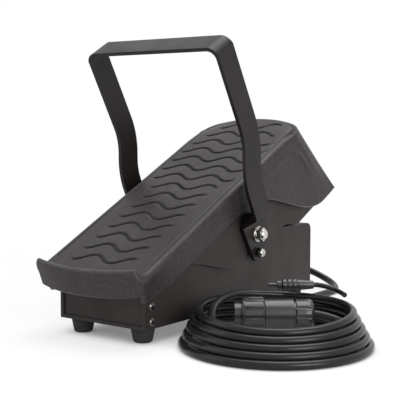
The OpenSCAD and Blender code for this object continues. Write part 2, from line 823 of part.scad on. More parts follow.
module handle() {
    // The ear starts where the web ends, below the lower bend
    ear_top = strap_low + (web_drop + web_lap) * [sin(low_lean), -cos(low_lean)];
    color(steel_black) difference() {
        union() {
            // Loop: the strap's side outline, hollowed and rounded by the arch
            intersection() {
                across(handle_w) strap_side();
                translate([0, strap_d[0], strap_d[1]]) rotate([top_lean, 0, 0])
                    translate([0, handle_top, 0]) rotate([90, 0, 0]) linear_extrude(2 * handle_top)
                        difference() {
                            arch_2d(handle_w + 1, corner_r, 0);
                            arch_2d(handle_w - 2 * strap_t, corner_r - strap_t, strap_t);
                        }
            }
            both_sides() {
                translate([0, strap_low[0], strap_low[1]]) rotate([low_lean, 0, 0])
                    translate([0, strap_w / 2 - web_inset, 0]) rotate([90, 0, 0])
                        linear_extrude(strap_w - 2 * web_inset) web_2d();
                translate([ear_in, 0, 0]) rotate([90, 0, 90]) linear_extrude(strap_t) {
                    hull() {
                        translate([pivot_y, pivot_z]) circle(ear_r, $fn = 64);
                        translate([lower_y, lower_z]) circle(ear_tip_r, $fn = hull_fn);
                    }
                    hull() {
                        translate([pivot_y, pivot_z]) circle(ear_r, $fn = 64);
                        translate(ear_top) circle(strap_w / 2, $fn = hull_fn);
                    }
                }
            }
        }
        translate([0, pivot_y, pivot_z]) xrod(-carrier_w, carrier_w, pivot_d + 2 * bolt_gap);
        translate([0, lower_y, lower_z]) xrod(-carrier_w, carrier_w, lower_d + 2 * bolt_gap);
    }
}

// Arch with rounded shoulders and long legs, whose top lies a drop below the origin
module arch_2d(width, r, drop) {
    translate([-width / 2, -handle_top]) square([width, handle_top - drop - r]);
    translate([-width / 2 + r, -handle_top]) square([width - 2 * r, handle_top - drop]);
    for (x = [-1, 1]) translate([x * (width / 2 - r), -drop - r]) circle(r, $fn = 64);
}

// ---------- springs ----------

anchor_w = 50;
anchor_d = 16;
anchor_t = 2;

module spring_anchor() {
    color(zinc) {
        difference() {
            translate([-anchor_w / 2, spring_y - anchor_d / 2, floor_z]) cube([anchor_w, anchor_d, anchor_t]);
            for (p = anchor_feet) translate([p[0], p[1], floor_z - 1])
                cylinder(d = floor_screw_d + 2 * bolt_gap, h = 5);
        }
        both_sides() translate([anchor_w / 2 - anchor_t - 0.3, 0, 0]) rotate([90, 0, 90])
            linear_extrude(anchor_t) link_2d([spring_y, spring_low_z], 5, [spring_y, floor_z + 6], 5);
        translate([0, spring_y, spring_low_z]) xrod(-anchor_w / 2 - 1, anchor_w / 2 + 1, rod_d);
    }
}

module spring_rod() {
    color(zinc) translate([0, spring_y, spring_high_z]) xrod(-carrier_w / 2 - 0.4, carrier_w / 2 + 0.4, rod_d);
}

// Helix of wire with a hooked loop at each end, round the two rods
module return_springs() {
    r = (spring_d - spring_wire) / 2;
    low = spring_low_z + hook_r + spring_wire * 1.5;
    high = spring_high_z - hook_r - spring_wire * 1.5;
    steps = spring_turns * spring_steps;
    helix = [for (i = [1 : steps - 1]) let (a = 360 * i / spring_steps)
             [r * sin(a), r * cos(a), low + (high - low) * i / steps]];
    hook = [for (i = [0 : 7]) let (a = 40 * i + 80) hook_r * [cos(a), sin(a)]];
    color(zinc) for (x = [-spring_x, spring_x]) translate([x, spring_y, 0])
        tube(concat([for (i = [7 : -1 : 0]) [0.6, hook[i][0], spring_low_z + hook[i][1]]], helix,
                    [for (i = [0 : 7]) [-0.6, hook[i][0], spring_high_z - hook[i][1]]]),
             spring_wire, 5);
}

// ---------- potentiometer drive ----------

sector_screw_x = gear_x + sector_t / 2 + 7;
sector_screw_s = [196, 226];
sector_screw_d = 4;
sector_flange = 14;
sector_from = 186;
sector_to = 236;
gear_slack = 0.08;
sector_add = 0.6;
sector_ded = 1.5;
pinion_add = 1.0;
pinion_ded = 0.9;
arc_low = 4;

// Toothed arm that hangs from the carrier into the base, with the nose that works the switch
module drive_sector() {
    pitch = 360 / sector_teeth;
    before = ceil(arc_low / pitch);
    after = ceil((travel + arc_low) / pitch);
    root = sector_r - sector_ded * gear_m;
    top_n = pivot_under - carrier_top - 1;
    arm = [sector_from - pivot_s, sector_to - pivot_s];
    color(zinc) {
        translate([gear_x - sector_t / 2, pivot_y, pivot_z]) rotate([90, 0, 90])
            linear_extrude(sector_t) {
                polygon(concat([rot2([arm[0], top_n], tilt), [-4, 10], [nose_y - 3.4, nose_z + 1],
                                [nose_y + 4, nose_z - 1], [6, -12], [34, -22]],
                               [for (k = [-before : after])
                                each tooth(sector_teeth, gear_slack, root,
                                           sector_r + sector_add * gear_m, k * pitch - mesh_angle)],
                               [rot2([arm[1], top_n], tilt)]));
                translate([nose_y, nose_z]) circle(nose_r);
            }
        on_pedal() difference() {
            translate([gear_x - sector_t / 2 - 1, sector_from - 1, -carrier_top - 3])
                cube([sector_t + 1 + sector_flange, sector_to - sector_from + 2, 3]);
            for (s = sector_screw_s) translate([sector_screw_x, s, -carrier_top - 4])
                cylinder(d = sector_screw_d + 2 * bolt_gap, h = 5);
        }
    }
}

// Turns a point of the side view about the origin
function rot2(p, a) = [p[0] * cos(a) - p[1] * sin(a), p[0] * sin(a) + p[1] * cos(a)];

module sector_screws() {
    color(zinc) on_pedal() for (s = sector_screw_s) translate([sector_screw_x, s, -carrier_top - 3]) {
        translate([0, 0, -2.4]) cylinder(d = 7.5, h = 2.4);
        cylinder(d = sector_screw_d, h = 3 + carrier_t - 0.2);
    }
}

module drive_pinion() {
    root = pinion_r - pinion_ded * gear_m;
    color(brass) translate([gear_x - pinion_t / 2, pinion_c[0], pinion_c[1]]) rotate([90, 0, 90])
        linear_extrude(pinion_t) difference() {
            union() {
                circle(root);
                for (k = [0 : pinion_teeth - 1])
                    polygon(tooth(pinion_teeth, gear_slack, root - 0.3, pinion_r + pinion_add * gear_m,
                                  180 - mesh_angle + (k + 0.5) * 360 / pinion_teeth));
            }
            circle(d = pot_shaft_d);
        }
}

module at_pinion() translate([0, pinion_c[0], pinion_c[1]]) children();

module pot_shaft() {
    color(zinc) at_pinion() xrod(pot_face_x - pot_plate_t - 3, gear_x + pinion_t / 2 + 1, pot_shaft_d);
}

// Housing with its threaded bush and three soldering tags
module pot_body() {
    back = pot_face_x - pot_plate_t;
    color(grey_plastic) at_pinion() {
        difference() {
            union() {
                xrod(back - pot_depth, back, pot_d);
                xrod(back, back + pot_plate_t + pot_bush_l, pot_bush_d);
            }
            xrod(back - 4, gear_x, pot_shaft_d + 2 * fit);
        }
        for (y = [-5, 0, 5]) translate([back - pot_depth / 2, y - 1, -pot_d / 2 - 7])
            cube([0.8, 2, 9]);
    }
}

module pot_nut() {
    color(zinc) at_pinion() difference() {
        xhex(pot_face_x, pot_face_x + 2.4, pot_bush_d + 4);
        xrod(-5, 10, pot_bush_d);
    }
}

bracket_foot = 20;
pot_bracket_w = 34;
switch_bracket_x = switch_x + switch_size[0];

module pot_bracket() {
    top = pinion_c[1] + 10;
    y = pinion_c[0];
    color(zinc) difference() {
        union() {
            translate([pot_face_x - pot_plate_t, 0, 0]) rotate([90, 0, 90]) linear_extrude(pot_plate_t)
                link_2d([y, pinion_c[1]], 12, [y, floor_z + 17], 17);
            translate([pot_face_x - bracket_foot - 8, y - pot_bracket_w / 2, floor_z])
                cube([bracket_foot + 8, pot_bracket_w, pot_plate_t]);
        }
        at_pinion() xrod(-10, 10, pot_bush_d + 2 * bolt_gap);
        for (p = pot_feet) translate([p[0], p[1], floor_z - 1]) cylinder(d = floor_screw_d + 2 * bolt_gap, h = 5);
    }
}

floor_screw_d = 4;
pot_feet = [[pot_face_x - 20, pinion_c[0] - 11], [pot_face_x - 20, pinion_c[0] + 11]];
switch_feet = [[switch_bracket_x + 13, pivot_y + switch_rear - 3],
               [switch_bracket_x + 13, pivot_y + switch_rear - 15]];
anchor_feet = [[-6, spring_y], [6, spring_y]];
terminal_feet = [[-30, terminal_y], [30, terminal_y]];
floor_screws = concat(pot_feet, switch_feet, anchor_feet, terminal_feet);

// Screws up through the floor into nuts or blocks above it
module bracket_screws() {
    color(zinc) for (p = floor_screws) translate([p[0], p[1], 0]) {
        translate([0, 0, foot_h - 2]) cylinder(d = 7, h = 2);
        translate([0, 0, foot_h - 1]) cylinder(d = floor_screw_d, h = sheet_t + 5);
    }
}

// ---------- switch ----------

module at_switch() translate([gear_x, pivot_y, pivot_z]) children();

module switch_body() {
    hw = switch_size[0] / 2;
    color(rubber_black) at_switch() difference() {
        union() {
            translate([-hw, switch_rear - switch_size[1], switch_low]) cube(switch_size);
            for (x = [-hw, hw - 1.5]) translate([x, switch_rear - 1, hinge_z - 2]) cube([1.5, 3, 4]);
            translate([0, hinge_y, hinge_z]) xrod(-hw + 1, hw - 1, 1);
            // Contact tags
            for (z = [6, 14, 22]) translate([-1.5, switch_rear - switch_size[1] - 6, switch_low + z])
                cube([3, 7, 0.8]);
        }
        translate([0, switch_rear - 4, plunger_z]) rotate([-90, 0, 0])
            cylinder(d = plunger_d + 2 * fit, h = 10);
        for (z = switch_holes) translate([0, switch_rear - switch_size[1] / 2, switch_low + z])
            xrod(-hw - 1, hw + 1, 3 + 2 * bolt_gap);
    }
}

switch_holes = [4, 24];

// Face of the lever at the plunger's height, seen from the pivot
lever_face = hinge_y + (plunger_z - hinge_z) * tan(lever_lean) - lever_t / 2 / cos(lever_lean);

module switch_plunger() {
    color(pale_plastic) at_switch() translate([0, switch_rear - 1.9, plunger_z]) rotate([-90, 0, 0])
        cylinder(d = plunger_d, h = lever_face - 0.15 - plunger_d / 2 * tan(lever_lean) - switch_rear + 1.9);
}

module switch_lever() {
    color(zinc) at_switch() translate([0, hinge_y, hinge_z]) rotate([-lever_lean, 0, 0]) difference() {
        union() {
            translate([-lever_w / 2, -lever_t / 2, 0])
                cube([lever_w, lever_t, (lever_top - hinge_z) / cos(lever_lean)]);
            xrod(-lever_w / 2, lever_w / 2, 2.2);
        }
        xrod(-lever_w, lever_w, 1 + 2 * fit);
    }
}

module switch_bracket() {
    y1 = pivot_y + switch_rear;
    y0 = y1 - switch_size[1] - 2;
    top = pivot_z + switch_low + switch_size[2] + 1;
    color(zinc) difference() {
        union() {
            translate([switch_bracket_x, y0, floor_z]) cube([1.5, y1 - y0, top - floor_z]);
            translate([switch_bracket_x, y0, floor_z]) cube([bracket_foot, y1 - y0, 1.5]);
        }
        for (z = switch_holes)
            translate([0, pivot_y + switch_rear - switch_size[1] / 2, pivot_z + switch_low + z])
                xrod(0, base_w, 3 + 2 * bolt_gap);
        for (p = switch_feet) translate([p[0], p[1], floor_z - 1])
            cylinder(d = floor_screw_d + 2 * bolt_gap, h = 5);
    }
}

module switch_screws() {
    color(zinc) for (z = switch_holes)
        translate([0, pivot_y + switch_rear - switch_size[1] / 2, pivot_z + switch_low + z]) {
            xrod(switch_x - 2, switch_bracket_x + 1.5, 3);
            xrod(switch_x - 2, switch_x, 5.5);
            xhex(switch_bracket_x + 1.5, switch_bracket_x + 3.9, 5.5);
        }
}

// ---------- terminals ----------

terminal_size = [72, 20, 15];
terminal_count = 6;
terminal_seat = 9;

module terminal_block() {
    pitch = 10;
    color(pale_plastic) difference() {
        translate([-terminal_size[0] / 2, terminal_y - terminal_size[1] / 2, floor_z])
            cube(terminal_size);
        for (k = [0 : terminal_count - 1]) let (x = (k - (terminal_count - 1) / 2) * pitch * 0.8) {
            translate([x, terminal_y - 20, floor_z + 6]) rotate([-90, 0, 0]) cylinder(d = 4, h = 40);
            translate([x, terminal_y, floor_z + terminal_seat]) cylinder(d = 5, h = 20);
        }
        for (p = terminal_feet) translate([p[0], p[1], floor_z - 1])
            cylinder(d = floor_screw_d + 2 * bolt_gap, h = 8);
    }
}

module terminal_screws() {
    color(zinc) for (k = [0 : terminal_count - 1])
        let (x = (k - (terminal_count - 1) / 2) * 8)
        translate([x, terminal_y, floor_z + terminal_seat]) cylinder(d = 4.6, h = 4.5);
}

// ---------- gland and leads ----------

module at_gland() translate([gland_x, half_l, gland_z]) rotate([-90, 0, 0]) children();

module gland_body() {
    color(rubber_black) at_gland() difference() {
        union() {
            translate([0, 0, -sheet_t - 9]) cylinder(d = gland_d, h = sheet_t + 9);
            cylinder(d = gland_hex / cos(30), h = 5, $fn = 6);
        }
        translate([0, 0, -20]) cylinder(d = lead_d + 0.6, h = 40);
    }
}

module gland_locknut() {
    color(rubber_black) at_gland() translate([0, 0, -sheet_t - 4]) difference() {
        cylinder(d = gland_hex / cos(30), h = 4, $fn = 6);
        translate([0, 0, -1]) cylinder(d = gland_d, h = 6);
    }
}

module gland_dome() {
    color(rubber_black) at_gland() translate([0, 0, 5]) difference() {
        rotate_extrude() polygon([[0, 0], [9.4, 0], [9.4, 7], [7.6, 11], [0, 11]]);
        translate([0, 0, -1]) cylinder(d = 11.4, h = 20);
    }
}

// Tapered sleeve that keeps the lead from kinking at the gland
module strain_relief() {
    color(rubber_black) at_gland() translate([0, 0, 5]) difference() {
        union() {
            cylinder(d = 11, h = 12);
            translate([0, 0, 11]) cylinder(d1 = 12.6, d2 = lead_d + 1.6, h = relief_l - 10);
        }
        translate([0, 0, -1]) cylinder(d = lead_d + 0.4, h = relief_l + 10);
    }
}

module lead_run() {
    color(grey_plastic) tube(concat([[gland_x, half_l - 8, gland_z]], run_route), lead_d, 10);
}

// Outer shape of the coil: loose turns lying flat inside a stack that narrows upwards
module lead_coil() {
    color(grey_plastic) intersection() {
        translate([coil_x, coil_y, 0]) rotate_extrude($fn = 96)
            polygon([[coil_flat_in, 2], [coil_flat_in + 3, 0], [coil_r - 3, 0], [coil_r, 3], [coil_r, 9],
                     [coil_in + 20, 2 * coil_h], [coil_in, 2 * coil_h], [coil_in, lead_d],
                     [coil_flat_in + 3, lead_d], [coil_flat_in, lead_d - 2]]);
        translate([coil_x, coil_y, coil_h]) rotate([0, 0, coil_turn]) rotate([coil_lean, 0, 0])
            translate([-coil_r - 20, -coil_r - 20, -2 * coil_h]) cube([2 * coil_r + 40, 2 * coil_r + 40, 2 * coil_h]);
    }
}

module lead_tail() {
    color(grey_plastic) tube(tail_route, lead_d, 10);
}

module branch_lead() {
    color(grey_plastic) tube(branch_route, branch_d, 8);
}

// Along the plug, from the pins' face to the nut
module at_plug() {
    translate([plug_c[0], plug_c[1], plug_z]) rotate([0, 0, coil_turn]) translate([-plug_half, 0, 0])
        children();
}

plug_ring_x = [8, 30];
plug_body_x = [30.4, 58];
plug_shell_d = 25;

module plug_body() {
    color(rubber_black) at_plug() difference() {
        union() {
            xrod(1, 8, plug_shell_d - 1);
            xrod(7.9, 40, plug_shell_d);
            xrod(plug_body_x[0], plug_body_x[1], plug_d - 3);
            xrod(50, 64, plug_d - 8);
        }
        xrod(0, 10, plug_shell_d - 4);
        xrod(9, 80, 15);
    }
}

module plug_insert() {
    color(grey_plastic) at_plug() xrod(6, 18, plug_shell_d - 4.2 - 6.2);
}

module plug_pins() {
    color(brass) at_plug() {
        xrod(1.6, 6, 2.2);
        for (a = [0 : 60 : 300]) rotate([a, 0, 0]) translate([0, 4.6, 0]) xrod(1.6, 6, 2.2);
    }
}

// Coupling ring with its grip grooves
module plug_ring() {
    color(rubber_black) at_plug() difference() {
        xrod(plug_ring_x[0], plug_ring_x[1], plug_d);
        xrod(0, 40, plug_shell_d + 0.2);
        for (a = [0 : 20 : 340]) rotate([a, 0, 0]) translate([plug_ring_x[0] + 3, plug_d / 2 - 0.8, -1])
            cube([plug_ring_x[1] - plug_ring_x[0] - 5, 3, 2]);
    }
}

module plug_nut() {
    color(rubber_black) at_plug() difference() {
        union() {
            xrod(60, 76, plug_d - 4);
            xrod(58.4, 60, plug_d - 7.8);
            translate([76, 0, 0]) rotate([0, 90, 0]) cylinder(d1 = plug_d - 4, d2 = plug_d - 12, h = 2);
        }
        xrod(50, 64.2, plug_d - 7.8);
        xrod(60, 90, lead_d + 0.4);
        for (a = [0 : 36 : 324]) rotate([a, 0, 0]) translate([62, (plug_d - 4) / 2 - 0.6, -1.2])
            cube([12, 3, 2.4]);
    }
}

// Second, slim plug with its ribbed grip
module slim_plug() {
    color(rubber_black) translate([slim_c[0], slim_c[1], slim_z])
        rotate([0, 0, coil_turn]) translate([-slim_len / 2, 0, 0]) rotate([0, 90, 0])
            rotate_extrude() polygon([[0, 0], [2.2, 0], [2.2, 9], [4.5, 9], [4.5, 14], [6, 15], [6, 18],
                                      [5.2, 19], [6, 20], [6, 23], [5.2, 24], [6, 25], [6, 28],
                                      [5.2, 29], [5.6, 30], [4.4, slim_len - 4], [4, slim_len], [0, slim_len]]);
}

// ---------- assembly ----------

base_shell();
front_panel();
panel_screws();
feet();
foot_screws();
pedal_carrier();
pedal_cover();
cover_screws();
handle();
pivot_bolts();
pivot_washers();
pivot_bushes();
spacing_washers();
pivot_nuts();
lower_bolts();
lower_washers();
lower_spacers();
lower_nuts();
heel_bumpers();
spring_anchor();
spring_rod();
return_springs();
drive_sector();
sector_screws();
drive_pinion();
pot_shaft();
pot_body();
pot_nut();
pot_bracket();
switch_body();
switch_plunger();
switch_lever();
switch_bracket();
switch_screws();
bracket_screws();
terminal_block();
terminal_screws();
gland_body();
gland_dome();
gland_locknut();
strain_relief();
lead_run();
lead_coil();
lead_tail();
plug_body();
plug_insert();
plug_pins();
plug_ring();
plug_nut();
branch_lead();
slim_plug();
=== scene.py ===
"""Visual model of a rocking foot control with a bail handle and a coiled lead.

Lengths in the classes are millimetres, as a drawing would give them, and become metres
where a mesh is made. +Z is up, +Y runs from the heel to the toe, +X is right of the foot.
"""

from __future__ import annotations

import json
import logging
import math
from dataclasses import dataclass, field
from enum import Enum

import bmesh
import bpy
import numpy as np
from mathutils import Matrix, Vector

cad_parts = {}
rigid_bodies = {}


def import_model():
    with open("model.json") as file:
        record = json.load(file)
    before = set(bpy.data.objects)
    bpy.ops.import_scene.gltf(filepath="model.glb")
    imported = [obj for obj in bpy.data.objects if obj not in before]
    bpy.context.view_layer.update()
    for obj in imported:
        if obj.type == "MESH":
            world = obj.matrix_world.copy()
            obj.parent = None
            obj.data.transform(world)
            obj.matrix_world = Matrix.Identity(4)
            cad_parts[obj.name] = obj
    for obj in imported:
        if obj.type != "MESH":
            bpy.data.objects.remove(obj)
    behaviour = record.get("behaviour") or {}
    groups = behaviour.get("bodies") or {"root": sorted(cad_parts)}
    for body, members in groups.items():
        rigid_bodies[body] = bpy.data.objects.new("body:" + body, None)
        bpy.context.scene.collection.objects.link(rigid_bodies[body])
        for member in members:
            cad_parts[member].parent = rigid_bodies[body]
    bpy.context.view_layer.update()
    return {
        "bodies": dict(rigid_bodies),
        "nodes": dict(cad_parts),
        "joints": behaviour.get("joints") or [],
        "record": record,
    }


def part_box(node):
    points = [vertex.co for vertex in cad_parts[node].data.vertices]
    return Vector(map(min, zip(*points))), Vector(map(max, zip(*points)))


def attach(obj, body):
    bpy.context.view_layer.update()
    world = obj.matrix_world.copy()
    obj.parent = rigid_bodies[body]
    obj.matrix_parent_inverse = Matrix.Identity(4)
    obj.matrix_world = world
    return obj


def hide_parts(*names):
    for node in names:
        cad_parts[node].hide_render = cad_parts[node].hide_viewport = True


LOG = logging.getLogger("foot_control")
MM = 0.001
Array = np.ndarray
Colour = tuple[float, float, float]
Point = tuple[float, float, float]


class Slot(Enum):
    """Names of the record's material slots."""

    POWDER = "powder_coat"
    TREAD = "tread_moulding"
    RUBBER = "rubber_black"
    ZINC = "zinc"
    BLACK_STEEL = "black_steel"
    BRONZE = "bronze"
    BRASS = "brass"
    PLATED = "plated_sheet"
    GREY = "grey_plastic"
    PALE = "pale_plastic"
    JACKET = "cable_jacket"
    PLUG = "plug_plastic"


# ---------------------------------------------------------------- shader nodes


def linear(colour: Colour) -> tuple[float, float, float, float]:
    """Turns a display colour of 0 to 255 into a scene-linear one.

    Args:
        colour: red, green and blue as a display shows them.

    Returns:
        The same colour as linear red, green, blue and alpha.
    """
    parts = []
    for part in colour:
        c = part / 255.0
        parts.append(c / 12.92 if c <= 0.04045 else ((c + 0.055) / 1.055) ** 2.4)
    return (parts[0], parts[1], parts[2], 1.0)


class Value:
    """One output socket; arithmetic on it adds Math nodes."""

    def __init__(self, graph: "NodeGraph", socket: bpy.types.NodeSocket) -> None:
        """Keeps the socket and the node tree it belongs to."""
        self.graph = graph
        self.socket = socket

    def _math(self, operation: str, first: object, second: object) -> "Value":
        """Adds one Math node on two values.

        Args:
            operation: the Math node's operation.
            first: its first value or link.
            second: its second value or link.

        Returns:
            The node's result.
        """
        return self.graph.node("ShaderNodeMath", {"operation": operation}, {0: first, 1: second})

    def __add__(self, other: object) -> "Value":
        """Sum of this value and another."""
        return self._math("ADD", self, other)

    def __radd__(self, other: object) -> "Value":
        """Sum of another value and this one."""
        return self._math("ADD", other, self)

    def __sub__(self, other: object) -> "Value":
        """This value less another."""
        return self._math("SUBTRACT", self, other)

    def __rsub__(self, other: object) -> "Value":
        """Another value less this one."""
        return self._math("SUBTRACT", other, self)

    def __mul__(self, other: object) -> "Value":
        """Product of this value and another."""
        return self._math("MULTIPLY", self, other)

    def __rmul__(self, other: object) -> "Value":
        """Product of another value and this one."""
        return self._math("MULTIPLY", other, self)

    def __pow__(self, other: object) -> "Value":
        """This value raised to a power."""
        return self._math("POWER", self, other)


class NodeGraph:
    """A node tree, written as expressions."""

    def __init__(self, tree: bpy.types.NodeTree) -> None:
        """Empties the tree."""
        self.tree = tree
        self.tree.nodes.clear()

    def node(self, kind: str, settings: dict | None = None, inputs: dict | None = None,
             output: int | str = 0) -> Value:
        """Adds a node, sets its settings and then its sockets.

        Args:
            kind: the node's type.
            settings: attributes of the node.
            inputs: values or links for its input sockets, by name or number.
            output: which output socket to hand back.

        Returns:
            The chosen output.
        """
        node = self.tree.nodes.new(kind)
        for key, value in (settings or {}).items():
            setattr(node, key, value)
        for key, value in (inputs or {}).items():
            self.feed(node.inputs[key], value)
        return Value(self, node.outputs[output])

    def feed(self, socket: bpy.types.NodeSocket, value: object) -> None:
        """Links a value to a socket, or writes a constant into it.

        Args:
            socket: the input socket.
            value: a Value to link, or a number or tuple to write.
        """
        if isinstance(value, Value):
            self.tree.links.new(value.socket, socket)
        else:
            socket.default_value = value

    def range(self, value: Value, low: float, high: float, to_low: float = 0.0,
              to_high: float = 1.0) -> Value:
        """Maps a value from one range to another, and holds it inside.

        Args:
            value: what is mapped.
            low: start of its range.
            high: end of its range.
            to_low: what the start becomes.
            to_high: what the end becomes.

        Returns:
            The mapped value.
        """
        return self.node("ShaderNodeMapRange", {"clamp": True},
                         {"Value": value, "From Min": low, "From Max": high,
                          "To Min": to_low, "To Max": to_high})


class Shader(NodeGraph):
    """A material whose surface is one Principled shader."""

    def __init__(self, name: str) -> None:
        """Makes an empty material with one surface shader.

        Args:
            name: the material's name.
        """
        self.material = bpy.data.materials.new(name)
        self.material.use_nodes = True
        super().__init__(self.material.node_tree)
        self.out = self.tree.nodes.new("ShaderNodeOutputMaterial")
        self.bsdf = self.tree.nodes.new("ShaderNodeBsdfPrincipled")
        self.tree.links.new(self.bsdf.outputs[0], self.out.inputs["Surface"])

    def principled(self, **inputs: object) -> None:
        """Sets the surface shader's sockets; an underscore stands for a space."""
        for key, value in inputs.items():
            self.feed(self.bsdf.inputs[key.replace("_", " ")], value)

    def place(self) -> Value:
        """Object coordinates, in metres."""
        return self.node("ShaderNodeTexCoord", output="Object")

    def noise(self, scale: float, detail: float = 2.0, stretch: Point = (1, 1, 1)) -> Value:
        """Cloudy pattern on the piece.

        Args:
            scale: how many cells there are in a metre.
            detail: octaves of finer cells.
            stretch: factors on the three axes, smaller for longer streaks.

        Returns:
            A value round 0.5.
        """
        where = self.place()
        if stretch != (1, 1, 1):
            where = self.node("ShaderNodeMapping", None, {"Vector": where, "Scale": stretch})
        return self.node("ShaderNodeTexNoise", None, {"Vector": where, "Scale": scale, "Detail": detail})

    def blend(self, factor: Value, first: Value | Colour, second: Colour) -> Value:
        """Mixes a colour with a display colour by a factor.

        Args:
            factor: 0 for the first colour and 1 for the second.
            first: display colour, or a colour that is already mixed.
            second: display colour.

        Returns:
            The mixed colour.
        """
        start = first if isinstance(first, Value) else linear(first)
        return self.node("ShaderNodeMix", {"data_type": "RGBA"},
                         {0: factor, 6: start, 7: linear(second)}, output=2)

    def bump(self, height: Value, strength: float, depth: float) -> None:
        """Feeds a height into the surface's normal.

        Args:
            height: the relief, from 0 to 1.
            strength: how much of it shows.
            depth: its depth in metres.
        """
        normal = self.node("ShaderNodeBump", None,
                           {"Height": height, "Strength": strength, "Distance": depth})
        self.principled(Normal=normal)


def shade(colour: Colour, factor: float) -> Colour:
    """Scales a display colour.

    Args:
        colour: display colour.
        factor: 1 leaves it as it is.

    Returns:
        The scaled colour.
    """
    return tuple(min(255.0, part * factor) for part in colour)


# ---------------------------------------------------------------- finishes


@dataclass(frozen=True)
class Finish:
    """What every finish has: its slot, its name and its colour."""

    name: str
    slot: Slot
    colour: Colour

    def build(self) -> bpy.types.Material:
        """Makes the material."""
        raise NotImplementedError


@dataclass(frozen=True)
class PowderCoat(Finish):
    """Baked powder paint: fine orange peel, slight cloudiness, dulled by handling."""

    roughness: float = 0.5
    peel: float = 0.16
    gloss: float = 0.26

    def build(self) -> bpy.types.Material:
        """Makes the material.

        Returns:
            The material, with its surface finished.
        """
        s = Shader(self.name)
        cloud = s.noise(9.0, 3.0)
        speck = s.noise(700.0, 2.0)
        rub = s.noise(38.0, 5.0, (1.0, 1.0, 0.35))
        tone = s.range(cloud * 0.5 + rub * 0.25 + speck * 0.25, 0.36, 0.64)
        s.principled(
            Base_Color=s.blend(tone, shade(self.colour, 0.9), shade(self.colour, 1.1)),
            Roughness=s.range(rub, 0.35, 0.7, self.roughness + 0.06, self.roughness - 0.07),
            Specular_IOR_Level=self.gloss,
        )
        s.bump(speck * 0.8 + cloud * 0.2, self.peel, 0.00012)
        return s.material


@dataclass(frozen=True)
class MouldedGrain(Finish):
    """Moulded hard rubber with a fine leather grain and scuffed gloss; painted shade darkens its
    grooves, side channels and the lip's foot, a painted highlight lightens the lip's crest, and the
    lower rim is made lighter.
    """

    roughness: float = 0.56
    highlight_and_rim_colour: Colour = (112, 110, 110)
    rim_polish: float = 0.16

    def build(self) -> bpy.types.Material:
        """Makes the material.

        Returns:
            The material, with its surface finished.
        """
        s = Shader(self.name)
        groove = s.node("ShaderNodeAttribute", {"attribute_name": "groove"}, output="Fac")
        rim = s.node("ShaderNodeAttribute", {"attribute_name": "rim"}, output="Fac")
        cell = s.node("ShaderNodeTexVoronoi", {"feature": "F1"},
                      {"Vector": s.place(), "Scale": 620.0}, output="Distance")
        fine = s.noise(1500.0, 2.0)
        mottle = s.noise(260.0, 3.0)
        cloud = s.noise(14.0, 4.0)
        scuff = s.noise(60.0, 6.0, (1.0, 0.25, 0.25))
        tone = s.range(cloud * 0.45 + mottle * 0.55, 0.36, 0.64)
        body = s.blend(tone, shade(self.colour, 0.74), shade(self.colour, 1.2))
        # Painted shade: the "groove" mark darkens the grooves, the side channel and the lip's foot in
        # the colour, where shade would fall.
        dark = s.blend(s.range(groove, 0.02, 0.32, 0.0, 0.97), body, shade(self.colour, 0.1))
        # Painted highlight: the "rim" mark lightens the lip's crest and its side; it also makes the
        # lower rim lighter.
        highlight_pale_rim = s.blend(rim * s.range(mottle, 0.3, 0.6, 0.55, 1.0), dark, self.highlight_and_rim_colour)
        rough = s.range(scuff, 0.4, 0.75, self.roughness + 0.04, self.roughness - 0.08)
        s.principled(Base_Color=highlight_pale_rim, Roughness=rough - self.rim_polish * rim,
                     Specular_IOR_Level=0.26)
        s.bump(cell * 0.6 + fine * 0.4, 0.45, 0.00025)
        return s.material


@dataclass(frozen=True)
class PlatedMetal(Finish):
    """Plated or bare metal with fine scratches and a little tarnish."""

    roughness: float = 0.24
    tarnish: float = 0.8

    def build(self) -> bpy.types.Material:
        """Makes the material.

        Returns:
            The material, with its surface finished.
        """
        s = Shader(self.name)
        cloud = s.noise(120.0, 4.0)
        scratch = s.noise(500.0, 4.0, (1.0, 0.12, 1.0))
        tone = s.range(cloud, 0.35, 0.7, 1.0, 0.0)
        s.principled(
            Base_Color=s.blend(tone, shade(self.colour, self.tarnish), self.colour),
            Metallic=1.0,
            Roughness=s.range(scratch, 0.3, 0.75, self.roughness - 0.06, self.roughness + 0.12),
        )
        s.bump(scratch, 0.08, 0.00005)
        return s.material


@dataclass(frozen=True)
class SoftRubber(Finish):
    """Matt rubber with a fine bloom."""

    roughness: float = 0.72

    def build(self) -> bpy.types.Material:
        """Makes the material.

        Returns:
            The material, with its surface finished.
        """
        s = Shader(self.name)
        bloom = s.noise(45.0, 4.0)
        fine = s.noise(1500.0, 2.0)
        s.principled(
            Base_Color=s.blend(s.range(bloom, 0.35, 0.7),
                               shade(self.colour, 0.9), shade(self.colour, 1.18)),
            Roughness=s.range(bloom, 0.3, 0.7, self.roughness, self.roughness + 0.1),
            Specular_IOR_Level=0.35,
        )
        s.bump(fine, 0.2, 0.0001)
        return s.material


@dataclass(frozen=True)
class CableJacket(Finish):
    """Extruded jacket: smooth along its length, with faint draw lines and rubbed patches."""

    roughness: float = 0.42

    def build(self) -> bpy.types.Material:
        """Makes the material.

        Returns:
            The material, with its surface finished.
        """
        s = Shader(self.name)
        uv = s.node("ShaderNodeUVMap", {"uv_map": "lay"}, output="UV")
        along = s.node("ShaderNodeMapping", None, {"Vector": uv, "Scale": (0.6, 16.0, 1.0)})
        around = s.node("ShaderNodeMapping", None, {"Vector": uv, "Scale": (26.0, 1.2, 1.0)})
        lines = s.node("ShaderNodeTexNoise", None, {"Vector": along, "Scale": 6.0, "Detail": 3.0})
        patch = s.node("ShaderNodeTexNoise", None, {"Vector": around, "Scale": 1.0, "Detail": 3.0})
        s.principled(
            Base_Color=s.blend(s.range(patch, 0.35, 0.65),
                               shade(self.colour, 0.92), shade(self.colour, 1.08)),
            Roughness=s.range(patch, 0.3, 0.7, self.roughness - 0.04, self.roughness + 0.08),
            Specular_IOR_Level=0.24,
        )
        s.bump(lines, 0.12, 0.00012)
        return s.material


